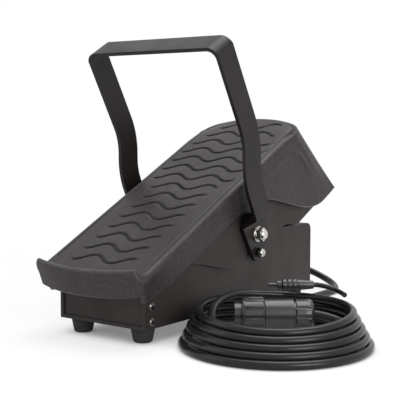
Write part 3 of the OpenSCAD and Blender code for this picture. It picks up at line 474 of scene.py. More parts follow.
@dataclass(frozen=True)
class HardPlastic(Finish):
    """Moulded plastic with a light spark-eroded texture."""

    roughness: float = 0.4
    texture: float = 0.12

    def build(self) -> bpy.types.Material:
        """Makes the material.

        Returns:
            The material, with its surface finished.
        """
        s = Shader(self.name)
        spark = s.noise(1600.0, 3.0)
        cloud = s.noise(30.0, 3.0)
        s.principled(
            Base_Color=s.blend(s.range(cloud, 0.35, 0.65),
                               shade(self.colour, 0.93), shade(self.colour, 1.07)),
            Roughness=s.range(cloud, 0.3, 0.7, self.roughness - 0.05, self.roughness + 0.07),
            Specular_IOR_Level=0.5,
        )
        s.bump(spark, self.texture, 0.00008)
        return s.material


class Coat(Enum):
    """The finishes of this object."""

    BOX_PAINT = PowderCoat("box_paint", Slot.POWDER, (45, 40, 39),
                           roughness=0.5, peel=0.16, gloss=0.2)
    HANDLE_PAINT = PowderCoat("handle_paint", Slot.POWDER, (24, 20, 19),
                              roughness=0.36, peel=0.12, gloss=0.22)
    # Painted highlight: a pale finish for rounded edges, standing in for the light that the bends catch.
    EDGE_HIGHLIGHT = PowderCoat("painted_edge_highlight", Slot.POWDER, (120, 116, 113),
                            roughness=0.34, peel=0.1, gloss=0.4)
    TREAD = MouldedGrain("tread_grain", Slot.TREAD, (46, 40, 41), roughness=0.46)
    FOOT_RUBBER = SoftRubber("foot_rubber", Slot.RUBBER, (36, 36, 37))
    BLACK_PLASTIC = HardPlastic("black_plastic", Slot.RUBBER, (38, 38, 39), roughness=0.45)
    BRIGHT_ZINC = PlatedMetal("bright_zinc", Slot.ZINC, (214, 212, 206),
                              roughness=0.2, tarnish=0.72)
    BLACK_SCREW = PlatedMetal("black_screw", Slot.BLACK_STEEL, (104, 102, 100),
                              roughness=0.24, tarnish=0.6)
    SINTERED_BRONZE = PlatedMetal("sintered_bronze", Slot.BRONZE, (168, 124, 72),
                                  roughness=0.42, tarnish=0.8)
    PIN_BRASS = PlatedMetal("pin_brass", Slot.BRASS, (196, 164, 92),
                            roughness=0.28, tarnish=0.85)
    SHEET_ZINC = PlatedMetal("sheet_zinc", Slot.PLATED, (176, 174, 168),
                             roughness=0.36, tarnish=0.82)
    HOUSING = HardPlastic("housing_plastic", Slot.GREY, (62, 62, 64), roughness=0.45)
    PALE_PLASTIC = HardPlastic("pale_plastic", Slot.PALE, (196, 192, 176), roughness=0.5)
    JACKET = CableJacket("lead_jacket", Slot.JACKET, (27, 27, 28), roughness=0.25)
    PLUG = HardPlastic("plug_plastic", Slot.PLUG, (44, 44, 45), roughness=0.28, texture=0.1)


class Wardrobe:
    """Builds each finish once and hands it out."""

    def __init__(self) -> None:
        """Starts with no material made."""
        self.made: dict[Coat, bpy.types.Material] = {}

    def dress(self, piece: bpy.types.Object, coat: Coat) -> None:
        """Puts a finish on every face of a piece.

        Args:
            piece: the object.
            coat: its finish.
        """
        piece.data.materials.clear()
        self.add(piece, coat)

    def add(self, piece: bpy.types.Object, coat: Coat) -> None:
        """Adds a finish after those that a piece already has.

        Args:
            piece: the object.
            coat: the finish.
        """
        if coat not in self.made:
            self.made[coat] = coat.value.build()
        piece.data.materials.append(self.made[coat])


# ---------------------------------------------------------------- surfaces

# Points closer than this become one, in millimetres
TOUCHING = 0.002
# Edges sharper than this many degrees stay sharp: on worked-out surfaces and on CAD nodes
SHARP_SURFACE = 38.0
SHARP_NODE = 32.0
# Faces that lie within this many degrees of each other are one flat face
FLAT = 0.6
# Points worked out on each stretch of a smooth route before it is spaced evenly
STRETCH_POINTS = 12


def ramp(value: Array, start: float, end: float) -> Array:
    """Share of the way from a start to an end, held between 0 and 1.

    Args:
        value: where on the way each point is.
        start: where the share is 0.
        end: where it is 1, which may lie below the start.

    Returns:
        The share at each point.
    """
    return np.clip((value - start) / (end - start), 0, 1)


def corners(node: str) -> tuple[Array, Array]:
    """A CAD node's lowest and highest corners at rest, in millimetres."""
    low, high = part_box(node)
    return np.array(low) / MM, np.array(high) / MM


class Skin:
    """Collects surfaces worked out as arrays and makes one mesh of them."""

    def __init__(self) -> None:
        """Starts empty."""
        self.points: list[Array] = []
        self.faces: list[list[int]] = []
        self.count = 0

    def grid(self, points: Array, wrap_rows: bool = False, wrap_columns: bool = False) -> Array:
        """Adds a grid of quads.

        Args:
            points: array of rows, columns and 3 coordinates, in millimetres.
            wrap_rows: joins the last row to the first.
            wrap_columns: joins the last column to the first.

        Returns:
            The grid's vertex numbers, as rows and columns.
        """
        rows, columns = points.shape[:2]
        number = self.count + np.arange(rows * columns).reshape(rows, columns)
        self.points.append(points.reshape(-1, 3))
        self.count += rows * columns
        down = np.vstack([number, number[:1]]) if wrap_rows else number
        full = np.hstack([down, down[:, :1]]) if wrap_columns else down
        quads = np.stack([full[:-1, :-1], full[:-1, 1:], full[1:, 1:], full[1:, :-1]], -1)
        self.faces.extend(quads.reshape(-1, 4).tolist())
        return number

    def cap(self, ring: Array) -> None:
        """Closes a ring of vertex numbers with one face."""
        self.faces.append(ring.tolist())

    def mesh(self, name: str, marks: dict[str, Array] | None = None) -> bpy.types.Object:
        """Makes the object, with its doubles merged and its faces pointing outwards.

        Args:
            name: the piece's name.
            marks: point attributes by name, one number for each point.

        Returns:
            The object, at the origin, its place in its mesh.
        """
        data = bpy.data.meshes.new(name)
        data.from_pydata((np.concatenate(self.points) * MM).tolist(), [], self.faces)
        for key, values in (marks or {}).items():
            layer = data.attributes.new(key, "FLOAT", "POINT")
            layer.data.foreach_set("value", values.astype(np.float32))
        return finish_mesh(name, data)


def finish_mesh(name: str, data: bpy.types.Mesh) -> bpy.types.Object:
    """Merges doubles, turns faces outwards, shades smoothly and links the object.

    Args:
        name: the piece's name.
        data: its mesh.

    Returns:
        The linked object.
    """
    work = bmesh.new()
    work.from_mesh(data)
    bmesh.ops.remove_doubles(work, verts=work.verts, dist=TOUCHING * MM)
    bmesh.ops.recalc_face_normals(work, faces=work.faces)
    work.to_mesh(data)
    work.free()
    data.shade_smooth()
    data.set_sharp_from_angle(angle=math.radians(SHARP_SURFACE))
    piece = bpy.data.objects.new(name, data)
    bpy.context.scene.collection.objects.link(piece)
    return piece


def bevel(piece: bpy.types.Object, width: float, segments: int = 2, angle: float = SHARP_NODE) -> None:
    """Rounds the sharp edges of a piece.

    Args:
        piece: the object.
        width: the bevel's width in millimetres.
        segments: faces across the rounding.
        angle: edges sharper than this many degrees are rounded.
    """
    mod = piece.modifiers.new("rounding", "BEVEL")
    mod.width = width * MM
    mod.segments = segments
    mod.limit_method = "ANGLE"
    mod.angle_limit = math.radians(angle)
    mod.harden_normals = True
    mod.use_clamp_overlap = True


def revolve(profile: Array, sides: int, ripple: Array | None = None) -> Array:
    """Turns a profile about its own axis.

    The point at turn a is (along, r cos a, r sin a), with r scaled by the ripple.

    Args:
        profile: rows of (distance along the axis, radius).
        sides: points round the axis.
        ripple: factors on the radius, as rows and sides.

    Returns:
        Points as rows, sides and (along, across, up).
    """
    turn = np.arange(sides) * 2 * math.pi / sides
    radius = profile[:, 1:2] * (1 if ripple is None else ripple)
    along = np.repeat(profile[:, :1], sides, 1)
    return np.stack([along, radius * np.cos(turn), radius * np.sin(turn)], -1)


def distances(points: Array) -> Array:
    """Distance of each point from the first, along the path."""
    return np.concatenate([[0], np.cumsum(np.linalg.norm(np.diff(points, axis=0), axis=1))])


def smooth_route(points: Array, step: float) -> Array:
    """Carries one smooth curve through points and spaces it evenly.

    Each stretch is the cubic whose slope at a point is half the way between its neighbours.

    Args:
        points: rows of coordinates in millimetres.
        step: distance between the new points.

    Returns:
        Evenly spaced points.
    """
    ext = np.vstack([2 * points[0] - points[1], points, 2 * points[-1] - points[-2]])
    p0, p1, p2, p3 = ext[:-3], ext[1:-2], ext[2:-1], ext[3:]
    t = np.linspace(0, 1, STRETCH_POINTS, endpoint=False)[None, :, None]
    a, b, c, d = (q[:, None, :] for q in (p0, p1, p2, p3))
    curve = 0.5 * (2 * b + (c - a) * t + (2 * a - 5 * b + 4 * c - d) * t ** 2
                   + (3 * b - a - 3 * c + d) * t ** 3)
    dense = np.vstack([curve.reshape(-1, 3), points[-1:]])
    run = distances(dense)
    even = np.linspace(0, run[-1], max(2, int(round(run[-1] / step)) + 1))
    return np.stack([np.interp(even, run, dense[:, k]) for k in range(3)], -1)


def tube(name: str, path: Array, diameter: float, sides: int) -> bpy.types.Object:
    """Carries a circle along a path, square to it, and closes both ends.

    At each point the circle's own axes are the level direction square to the path and the
    third direction square to both.

    Args:
        name: the piece's name.
        path: evenly spaced points in millimetres.
        diameter: the tube's diameter.
        sides: points round it.

    Returns:
        The tube, with a UV map "lay": u is metres along it, and v goes up and down once round it.
    """
    way = np.gradient(path, axis=0)
    way /= np.linalg.norm(way, axis=1, keepdims=True)
    level = np.cross(way, [0.0, 0.0, 1.0])
    level /= np.linalg.norm(level, axis=1, keepdims=True)
    third = np.cross(level, way)
    turn = (np.arange(sides) * 2 * math.pi / sides)[None, :, None]
    spoke = np.cos(turn) * level[:, None] + np.sin(turn) * third[:, None]
    rings = path[:, None] + diameter / 2 * spoke
    skin = Skin()
    number = skin.grid(rings, wrap_columns=True)
    skin.cap(number[0])
    skin.cap(number[-1][::-1])
    piece = skin.mesh(name)
    data = piece.data
    loop_vertex = np.zeros(len(data.loops), np.int32)
    data.loops.foreach_get("vertex_index", loop_vertex)
    row, column = loop_vertex // sides, loop_vertex % sides
    uv = np.stack([distances(path)[row] * MM, np.abs(column / sides - 0.5) * 2], -1)
    layer = data.uv_layers.new(name="lay")
    layer.data.foreach_set("uv", uv.astype(np.float32).ravel())
    return piece


# ---------------------------------------------------------------- sub-assemblies


@dataclass
class SubAssembly:
    """What every sub-assembly needs: the frame and the finishes."""

    frame: dict
    wardrobe: Wardrobe

    def body(self, node: str) -> str:
        """Name of the body that a CAD node rides on."""
        groups = self.frame["record"]["behaviour"]["bodies"]
        return next(name for name, nodes in groups.items() if node in nodes)

    def report(self, piece: bpy.types.Object) -> None:
        """Logs a finished piece."""
        LOG.info("%s: %d faces", piece.name, len(piece.data.polygons))

    def settle(self, piece: bpy.types.Object, coat: Coat, *nodes: str) -> bpy.types.Object:
        """Dresses a new piece, lets it stand for CAD nodes and rides it on their body.

        Args:
            piece: the object.
            coat: its finish.
            nodes: the CAD nodes it stands for.

        Returns:
            The piece.
        """
        self.wardrobe.dress(piece, coat)
        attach(piece, self.body(nodes[0]))
        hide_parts(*nodes)
        self.report(piece)
        return piece

    def rounded(self, node: str, coat: Coat, width: float, segments: int = 2,
                angle: float = SHARP_NODE, merge: float = TOUCHING) -> bpy.types.Object:
        """Copies a CAD node, merges its loose triangles and rounds its edges.

        Args:
            node: the CAD node.
            coat: its finish.
            width: the rounding in millimetres, or 0 for none.
            segments: faces across the rounding.
            angle: edges sharper than this many degrees are rounded.
            merge: points closer than this many millimetres become one.

        Returns:
            The piece that stands for the node.
        """
        data = self.frame["nodes"][node].data.copy()
        data.materials.clear()
        work = bmesh.new()
        work.from_mesh(data)
        bmesh.ops.remove_doubles(work, verts=work.verts, dist=merge * MM)
        bmesh.ops.dissolve_limit(work, angle_limit=math.radians(FLAT), verts=work.verts,
                                 edges=work.edges)
        work.to_mesh(data)
        work.free()
        data.shade_smooth()
        data.set_sharp_from_angle(angle=math.radians(SHARP_NODE))
        piece = bpy.data.objects.new(node + "_skin", data)
        bpy.context.scene.collection.objects.link(piece)
        if width > 0:
            bevel(piece, width, segments, angle)
        return self.settle(piece, coat, node)

    def keep(self, node: str, coat: Coat) -> None:
        """Gives a CAD node that stays as it is its finish."""
        self.wardrobe.dress(self.frame["nodes"][node], coat)


@dataclass
class BaseBox(SubAssembly):
    """Folded sheet box with its front panel, side screws and feet."""

    fold: float = 0.7
    foot_edge: float = 0.9

    def build(self) -> None:
        """Makes every piece of the box."""
        self.rounded("base_shell", Coat.BOX_PAINT, self.fold)
        self.rounded("front_panel", Coat.BOX_PAINT, self.fold)
        self.rounded("panel_screws", Coat.BLACK_SCREW, 0.25)
        self.rounded("feet", Coat.FOOT_RUBBER, self.foot_edge, 3)
        self.rounded("foot_screws", Coat.BRIGHT_ZINC, 0.3)
        self.rounded("heel_bumpers", Coat.FOOT_RUBBER, 0.5)


@dataclass
class Border:
    """Closed loop round the tread, with what a wall needs at each of its points.

    The angle is the outward direction in plan. toe and heel are the shares of the toe's wall
    and of the heel's wall that a point has.
    """

    points: Array
    angle: Array
    toe: Array
    heel: Array


@dataclass
class Wall:
    """Outer face of the cover under its border, and its lower edge.

    under is the lower edge's height, slip how far it has moved towards the toe, and pull how
    far it has moved inwards at the heel.
    """

    outer: Array
    under: Array
    slip: Array
    pull: Array


@dataclass
class Pedal(SubAssembly):
    """Moulded tread over a steel carrier that rocks on the base.

    The cover is worked out in its own axes: x across, s along the tread from the heel, n above.
    """

    width: float = 136.0
    length: float = 300.0
    shoulder: float = 6.0
    shell: float = 3.0
    ceiling: float = 4.0
    inner_heel: float = -2.0
    # How the tread leans, and where the pivot is: in the frame, along the tread and under it
    tilt: float = 26.4
    pivot: tuple[float, float] = (23.5, 90.5)
    pivot_s: float = 176.0
    pivot_under: float = 65.6
    # Bow, lean and rounded corners of the toe, and how far its corners droop
    toe_bow: float = 20.0
    toe_lean: float = 22.0
    corner: float = 14.0
    corner_end: float = 0.995
    droop: float = 4.0
    droop_length: float = 30.0
    droop_width: tuple[float, float] = (20.0, 62.0)
    # Bow and section of the heel's lip: where it starts, its height, its rounded crest
    heel_bow: float = 10.0
    lip_over: float = 9.6
    lip_blend: float = 7.0
    lip_rise: float = 10.5
    lip_wall: float = 150.0
    lip_shadow: tuple[float, float] = (0.34, 0.3)
    # How the lip's ends run out: height at the cover's side, width of the fall, and softness
    lip_end: float = 1.0
    lip_runout: float = 5.0
    lip_soft: float = 0.6
    crest: float = 2.5
    # Outer face of the lip: how far it stands out, where it turns under, and how high it goes
    face_out: float = 5.8
    face_drop: float = 14.3
    face_under: float = -7.0
    face_above: float = 12.0
    # Rounding of that turn: its corners' distances under it and over it, and inside the face
    turn_under: float = 1.6
    turn_over: float = 2.0
    turn_inside: tuple[float, float, float] = (1.0, 0.1, 0.5)
    lip_taper: float = 6.0
    taper_from: float = 25.0
    taper_to: float = -5.0
    # Skirts, hood and the stretch of the edge between them, and the edge's rounding
    skirt: float = 26.0
    heel_skirt: float = 25.4
    rim: float = 0.6
    rim_outer: float = 0.5
    rim_inner: float = 0.3
    hood: float = 102.0
    hood_from: float = 165.0
    hood_to: float = 315.0
    lean_from: float = 150.0
    lean_to: float = 300.0
    # Raised arch on the hood's sides: where it starts, how far in it lies, its height and width
    arch_from: tuple[float, float] = (195.0, 240.0)
    arch_inset: float = 9.0
    arch_height: float = 1.1
    arch_width: float = 3.2
    arch_fades: tuple[float, float] = (1.5, 2.2)
    belly: float = 1.3
    # Wave grooves: first row, pitch, and the wave's length, height and phase
    wave_first: float = 17.0
    wave_pitch: float = 20.3
    wave_past: float = 6.0
    wave_len: float = 48.0
    wave_amp: float = 5.5
    wave_phase: float = 30.0
    # Half lengths of the rows: short at the heel, growing past the middle, shrinking at the toe
    row_short: float = 41.0
    row_long: float = 59.0
    row_grows: float = 0.5
    row_shrinks: float = 0.36
    row_last_full: float = 0.85
    row_fade: float = 7.0
    # Section of a groove: a slow ramp from the heel side and a steep wall on the toe side
    groove_depth: float = 2.2
    groove_ramp: float = 4.2
    groove_power: float = 1.9
    groove_wall: float = 1.3
    # Fine channel along both sides of the tread
    bead_at: float = 59.6
    bead_half: float = 1.2
    bead_depth: float = 1.3
    bead_from: float = 10.0
    bead_to: float = 14.0
    bead_before: float = 1.6
    bead_columns: tuple[float, ...] = (-0.5, 0, 0.5, 1, 1.5)
    # How much painted shade darkens the channel and the lip's foot, how much painted highlight lightens
    # the crest and its side, and how much lighter the rim is
    bead_painted_shade: float = 0.8
    foot_painted_shade: float = 0.5
    crest_highlight: float = 0.3
    crest_side_highlight: float = 0.2
    rim_lighten: float = 0.7
    # How finely the surface is drawn
    flat_rows: int = 400
    wave_columns: int = 77
    wave_reach: float = 57.0
    lip_rows: int = 26
    crest_rows: int = 8
    shoulder_rows: int = 7
    wall_rows: int = 32
    wall_evenly: float = 0.97
    wall_power: float = 1.25
    wall_last: tuple[float, float] = (0.985, 1.0)
    fan: int = 8
    # Turns in which the lower edge of a leaning wall is found
    edge_turns: int = 40

    @property
    def edge(self) -> float:
        """Half the width of the tread inside its rounded shoulders."""
        return self.width / 2 - self.shoulder

    def place(self, points: Array) -> Array:
        """Turns (across, along the tread, above it) into the shared frame.

        Args:
            points: array whose last axis has the three distances.

        Returns:
            The same points in the shared frame.
        """
        c, s = math.cos(math.radians(self.tilt)), math.sin(math.radians(self.tilt))
        y, z = points[..., 1] - self.pivot_s, points[..., 2] + self.pivot_under
        return np.stack([points[..., 0], self.pivot[0] + y * c - z * s,
                         self.pivot[1] + y * s + z * c], -1)

    def bow_radius(self, depth: float) -> float:
        """Radius of the arc that spans the width and stands a depth over its chord."""
        half = self.width / 2
        return (half ** 2 + depth ** 2) / (2 * depth)

    def corner_cut(self, x: Array) -> Array:
        """How far a rounded corner of the toe draws back, as a quarter circle over its width."""
        share = np.clip((np.abs(x) - self.edge + self.corner) / self.corner, 0, self.corner_end)
        return self.corner * (1 - np.sqrt(1 - share ** 2))

    def row_half(self, s: float) -> float:
        """Half the length of a wave row, which grows past the middle and shrinks at the toe.

        Args:
            s: the row's place along the tread.

        Returns:
            The distance from the middle line to the row's end.
        """
        grown = self.row_short + max(0, s - self.length / 2) * self.row_grows
        late = max(0, s - self.row_last_full * self.length)
        return min(self.row_long, grown) - late * self.row_shrinks

    def grooves(self, x: Array, s: Array) -> Array:
        """Depth of the tread's wave grooves, from 0 to 1.

        A groove falls gently from the heel side and ends at a steep wall on the toe side; its
        middle line is a wave across the tread, and both its ends fade out.

        Args:
            x: distances across.
            s: distances along.

        Returns:
            The share of the full depth at each point.
        """
        depth = np.zeros_like(x)
        count = int((self.length + self.wave_past - self.wave_first) // self.wave_pitch) + 1
        for row in range(count):
            middle = self.wave_first + row * self.wave_pitch
            half = self.row_half(middle)
            phase = 2 * np.pi * (x + half) / self.wave_len - math.radians(self.wave_phase)
            slope = self.wave_amp * 2 * np.pi / self.wave_len * np.sin(phase)
            off = (s - middle + self.wave_amp * np.cos(phase)) / np.sqrt(1 + slope ** 2)
            gentle = ramp(off, -self.groove_ramp, 0) ** self.groove_power
            steep = ramp(off, self.groove_wall, 0)
            ends = ramp(half - np.abs(x), 0, self.row_fade)
            depth = np.maximum(depth, np.where(off < 0, gentle, steep) * ends)
        return depth

    def lip(self) -> tuple[Array, Array, Array]:
        """Section of the heel's lip, from its crest down to its foot.

        The crest is an arc. From there the lip falls as a power of the distance from its foot,
        and the power is the one that meets the arc without a kink.

        Returns:
            The bow's radius and the height at each row, and the share of the way up from the
            foot, which is 2 on the crest.
        """
        end = math.radians(self.lip_wall)
        reach = self.lip_over + self.lip_blend - self.crest + self.crest * math.cos(end)
        high = self.lip_rise - self.crest + self.crest * math.sin(end)
        power = -reach / (high * math.tan(end))
        up = np.linspace(1, 0, self.lip_rows)
        arc = np.radians(np.linspace(90, self.lip_wall, self.crest_rows, endpoint=False))
        heel = self.bow_radius(self.heel_bow)
        radius = np.concatenate([heel - self.crest + self.crest * np.cos(arc),
                                 heel - self.lip_over - self.lip_blend + reach * up])
        rise = np.concatenate([self.lip_rise - self.crest + self.crest * np.sin(arc),
                               high * up ** power])
        return radius, rise, np.concatenate([np.full(len(arc), 2.0), up])

    def top(self) -> tuple[Array, Array]:
        """Tread from the crest of the heel lip to the start of the toe's rounding.

        Rows follow the bow of the lip at the heel and the bow of the toe at the other end. The
        lip's ends are lowered towards the sides by a soft minimum of two heights.

        Returns:
            The grid as rows, columns and (x, s, n), and how much painted shade darkens each point: in
            the grooves, the side channel and at the lip's foot.
        """
        near_bead = self.bead_at + self.bead_half * np.array(self.bead_columns)
        sides = np.concatenate([[self.bead_at - self.bead_before], near_bead, [self.edge]])
        x = np.concatenate([-sides[::-1], np.linspace(-self.wave_reach, self.wave_reach,
                                                      self.wave_columns), sides])
        radius, rise, up = self.lip()
        heel_axis = self.bow_radius(self.heel_bow) - self.heel_bow - self.lip_over
        lip_s = heel_axis - np.sqrt(radius[:, None] ** 2 - x[None] ** 2)
        toe_angle = math.radians(self.toe_lean)
        tangent = self.shoulder * math.tan((math.pi / 2 - toe_angle) / 2)
        toe_radius = self.bow_radius(self.toe_bow)
        bow = self.toe_bow - toe_radius + np.sqrt(toe_radius ** 2 - x ** 2)
        toe_s = self.length + bow / math.cos(toe_angle) - tangent - self.corner_cut(x)
        share = np.linspace(0, 1, self.flat_rows + 1)[1:, None]
        flat_s = lip_s[-1][None] * (1 - share) + toe_s[None] * share
        s = np.vstack([lip_s, flat_s])
        xx = np.repeat(x[None], len(s), 0)
        limit = self.lip_end + (self.width / 2 - np.abs(xx)) * self.lip_rise / self.lip_runout
        n = np.vstack([np.repeat(rise[:, None], len(x), 1), np.zeros_like(flat_s)])
        n = 0.5 * (n + limit - np.sqrt((n - limit) ** 2 + self.lip_soft))
        deep = self.grooves(xx, s)
        bead = ramp(np.abs(np.abs(xx) - self.bead_at), self.bead_half, 0)
        bead *= ramp(s, self.bead_from, self.bead_to)
        sunk = ramp(s - toe_s[None], -self.droop_length, 0) * ramp(np.abs(xx), *self.droop_width)
        n = n - self.groove_depth * deep - self.bead_depth * bead - self.droop * sunk ** 2
        # Painted shade: a dark band across the lip's foot, where it meets the tread.
        middle, half = self.lip_shadow
        foot = np.zeros_like(n)
        foot[:len(lip_s)] = ramp(np.abs(up - middle), half, 0)[:, None]
        # Painted shade: the grooves, the side channel and the lip's foot are darkened in the colour,
        # where shade would fall.
        dark = np.maximum(np.maximum(deep, self.bead_painted_shade * bead), self.foot_painted_shade * foot)
        return np.stack([xx, s, n], -1), dark

    def wall_depth(self, s: Array, follow: Array) -> Array:
        """Depth of the lower edge under each point of the side, leaning walls included.

        The edge is a level skirt, half a cosine wave down to the hood, and level again. A
        leaning wall ends further along than it starts, so depth and place are found in turns.

        Args:
            s: place along the tread at the top of the wall.
            follow: share of the toe's lean that the wall has there.

        Returns:
            The depth under the tread.
        """
        depth = np.full_like(s, self.skirt)
        lean = math.tan(math.radians(self.toe_lean))
        for _ in range(self.edge_turns):
            share = ramp(s + lean * follow * depth, self.hood_from, self.hood_to)
            target = self.skirt + (self.hood - self.skirt) * (1 - np.cos(np.pi * share)) / 2
            depth = 0.5 * depth + 0.5 * target
        return depth

    def border(self, top: Array) -> Border:
        """Closed loop round the top grid, with a fan of directions at each corner.

        Args:
            top: the tread's grid of (x, s, n).

        Returns:
            The loop, from the heel's right corner round the toe.
        """
        right, toe = top[:, -1], top[-1, ::-1]
        left, heel = top[::-1, 0], top[0]
        toe_way = np.gradient(toe[:, :2], axis=0)
        toe_turn = np.degrees(np.arctan2(-toe_way[:, 0], toe_way[:, 1]))
        heel_radius = self.bow_radius(self.heel_bow) - self.crest
        heel_turn = 180 + np.degrees(np.arccos(-heel[:, 0] / heel_radius))

        def turned(point: Array, start: float, end: float) -> tuple[Array, Array]:
            """One point over and over, and directions that turn about it."""
            return np.repeat(point[None], self.fan, 0), np.linspace(start, end, self.fan + 2)[1:-1]

        none, full, more, less = (0, 0), (1, 1), (0.1, 0.9), (0.9, 0.1)
        parts = [(right, np.zeros(len(right)), none, none),
                 (*turned(right[-1], 0, toe_turn[0]), more, none),
                 (toe, toe_turn, full, none),
                 (*turned(left[0], toe_turn[-1], 180), less, none),
                 (left, np.full(len(left), 180.0), none, none),
                 (*turned(left[-1], 180, heel_turn[0]), none, more),
                 (heel, heel_turn, none, full),
                 (*turned(heel[-1], heel_turn[-1], 360), none, less)]
        points, angle, toe_ends, heel_ends = zip(*parts)
        sizes = [len(part) for part in points]
        toe_share = [np.linspace(*ends, size) for ends, size in zip(toe_ends, sizes)]
        heel_share = [np.linspace(*ends, size) for ends, size in zip(heel_ends, sizes)]
        return Border(np.vstack(points), np.radians(np.concatenate(angle)),
                      np.concatenate(toe_share)[:, None], np.concatenate(heel_share)[:, None])

    def swell(self, s: Array, drop: Array, fall: Array, toe_end: float, weight: Array) -> Array:
        """How far the hood's sides stand out: a slight belly with a raised arch near its rim.

        The arch is a bell curve over the inset, a soft minimum of the distances from the top
        and from the toe.

        Args:
            s: place along the tread.
            drop: distance under the shoulder.
            fall: share of the way down the wall.
            toe_end: where the toe starts.
            weight: 1 on the sides and 0 on the toe and the heel.

        Returns:
            The distance outwards.
        """
        reach = self.arch_inset
        to_toe = np.maximum(toe_end - s, 0)
        inset = -reach * np.log(np.exp(-drop / reach) + np.exp(-to_toe / reach))
        arch = self.arch_height * np.exp(-((inset - reach) / self.arch_width) ** 2)
        arch = arch * np.clip(self.arch_fades[0] - self.arch_fades[1] * fall, 0, 1)
        return ramp(s, *self.arch_from) * weight * (arch + self.belly * np.sin(math.pi * fall))

    def wall(self, loop: Border, toe_end: float) -> Wall:
        """Rounded shoulder and outer face, carried round the border.

        The shoulder is an arc of a quarter turn less the wall's lean. The wall falls straight to
        the lower edge, and the lip's face follows a section of straight stretches. The toe's
        wall leans away, and the heel's wall leans out and turns under.

        Args:
            loop: the border.
            toe_end: where the toe starts, along the tread.

        Returns:
            The wall, as points by loop and depth.
        """
        x, s, n = loop.points[:, :1], loop.points[:, 1:2], loop.points[:, 2:]
        side = 1 - loop.heel
        lean = math.radians(self.toe_lean)
        heel_lean = math.atan(self.face_out / (self.lip_rise - self.crest + self.face_drop))
        full = math.pi / 2 - loop.toe * lean - loop.heel * heel_lean
        radius = self.shoulder * side + self.crest * loop.heel
        turn = full * np.linspace(0, 1, self.shoulder_rows)[None, 1:]
        arc_out = radius * np.sin(turn)
        arc_n = n * (1 - side * np.sin(turn) / np.sin(full)) - radius * (1 - np.cos(turn))
        follow = np.maximum(loop.toe, ramp(s, self.lean_from, self.lean_to) * side)
        under = -(self.wall_depth(s, follow) * side + self.heel_skirt * loop.heel)
        # Rows get closer towards the lower edge
        rows = np.linspace(0, self.wall_evenly, self.wall_rows)[1:] ** self.wall_power
        fall = np.append(rows, self.wall_last)[None]
        wall_n = arc_n[:, -1:] + (under - arc_n[:, -1:]) * fall
        drop = arc_n[:, -1:] - wall_n
        face_n = [-self.heel_skirt, -self.face_drop - self.turn_under, -self.face_drop,
                  self.turn_over - self.face_drop, self.face_above]
        face_out = [self.face_under, *(self.face_out - inside for inside in self.turn_inside), 0]
        face = np.interp(wall_n, face_n, face_out) + self.crest
        swell = self.swell(s, drop, fall, toe_end, side * (1 - loop.toe))
        wall_out = arc_out[:, -1:] * side + face * loop.heel + swell
        out = np.hstack([arc_out, wall_out])
        shear = math.tan(lean) * follow * np.hstack([np.zeros_like(arc_n), drop])
        share = np.hstack([np.zeros_like(arc_n), np.repeat(fall, len(s), 0)])
        squared = loop.toe * self.corner_cut(x) * share
        near_heel = np.maximum(loop.heel, ramp(s, self.taper_from, self.taper_to))
        taper = self.lip_taper * share * near_heel * np.abs(x / self.edge) ** 3 * np.sign(x)
        outer = np.stack([x + out * np.cos(loop.angle)[:, None] - taper,
                          s + out * np.sin(loop.angle)[:, None] + shear + squared,
                          np.hstack([arc_n, wall_n])], -1)
        return Wall(outer, under[:, 0], shear[:, -1], taper[:, -1])

    def inside(self, loop: Border, wall: Wall) -> Array:
        """Lower rim, and the inner wall up to the ceiling.

        Args:
            loop: the border.
            wall: the outer face.

        Returns:
            Three points for each point of the loop.
        """
        way = np.stack([np.cos(loop.angle), np.sin(loop.angle)], -1)
        inwards = self.shoulder - self.shell
        reach = self.edge + inwards
        x = np.clip(loop.points[:, 0] + inwards * way[:, 0], -reach, reach) - wall.pull
        s = np.maximum(loop.points[:, 1] + (inwards - self.rim) * way[:, 1], self.inner_heel)
        last = wall.outer[:, -1, :2] - self.rim * way
        return np.stack([np.stack([last[:, 0], last[:, 1], wall.under - self.rim_outer], -1),
                         np.stack([x, s + wall.slip, wall.under - self.rim_inner], -1),
                         np.stack([x, s, np.full(len(x), -self.ceiling)], -1)], 1)

    def cover(self) -> bpy.types.Object:
        """The moulded cover as one closed shell.

        A profile is carried round the top grid's border: a rounded shoulder, a wall down to the
        lower edge, a rim, and the inner wall up to the ceiling. The point attribute "groove"
        marks painted shade in the grooves, the channel and at the lip's foot, and "rim" marks a
        painted highlight on the lip's crest and its side, and a lighter lower rim.

        Returns:
            The cover.
        """
        top, deep = self.top()
        loop = self.border(top)
        wall = self.wall(loop, top[-1, -1, 1])
        sides = np.concatenate([loop.points[:, None], wall.outer, self.inside(loop, wall)], 1)
        skin = Skin()
        skin.grid(self.place(top))
        number = skin.grid(self.place(sides), wrap_rows=True)
        skin.cap(number[:, -1])
        top_highlight, side_highlight_pale_rim = np.zeros(top.shape[:2]), np.zeros(sides.shape[:2])
        # Painted highlight on the lip's crest and its side; the lower rim is only made lighter.
        top_highlight[:self.crest_rows] = self.crest_highlight
        side_highlight_pale_rim[:, -4:-2] = self.rim_lighten
        side_highlight_pale_rim[:, :self.shoulder_rows - 1] = self.crest_side_highlight * loop.heel
        return skin.mesh("pedal_cover_skin", {
            "groove": np.concatenate([deep.ravel(), np.zeros(side_highlight_pale_rim.size)]),
            "rim": np.concatenate([top_highlight.ravel(), side_highlight_pale_rim.ravel()])})

    def build(self) -> None:
        """Makes the pedal's pieces."""
        self.settle(self.cover(), Coat.TREAD, "pedal_cover")
        self.rounded("pedal_carrier", Coat.BOX_PAINT, 0.5)
        self.rounded("cover_screws", Coat.BRIGHT_ZINC, 0.2)
        self.rounded("spring_rod", Coat.SHEET_ZINC, 0.3)


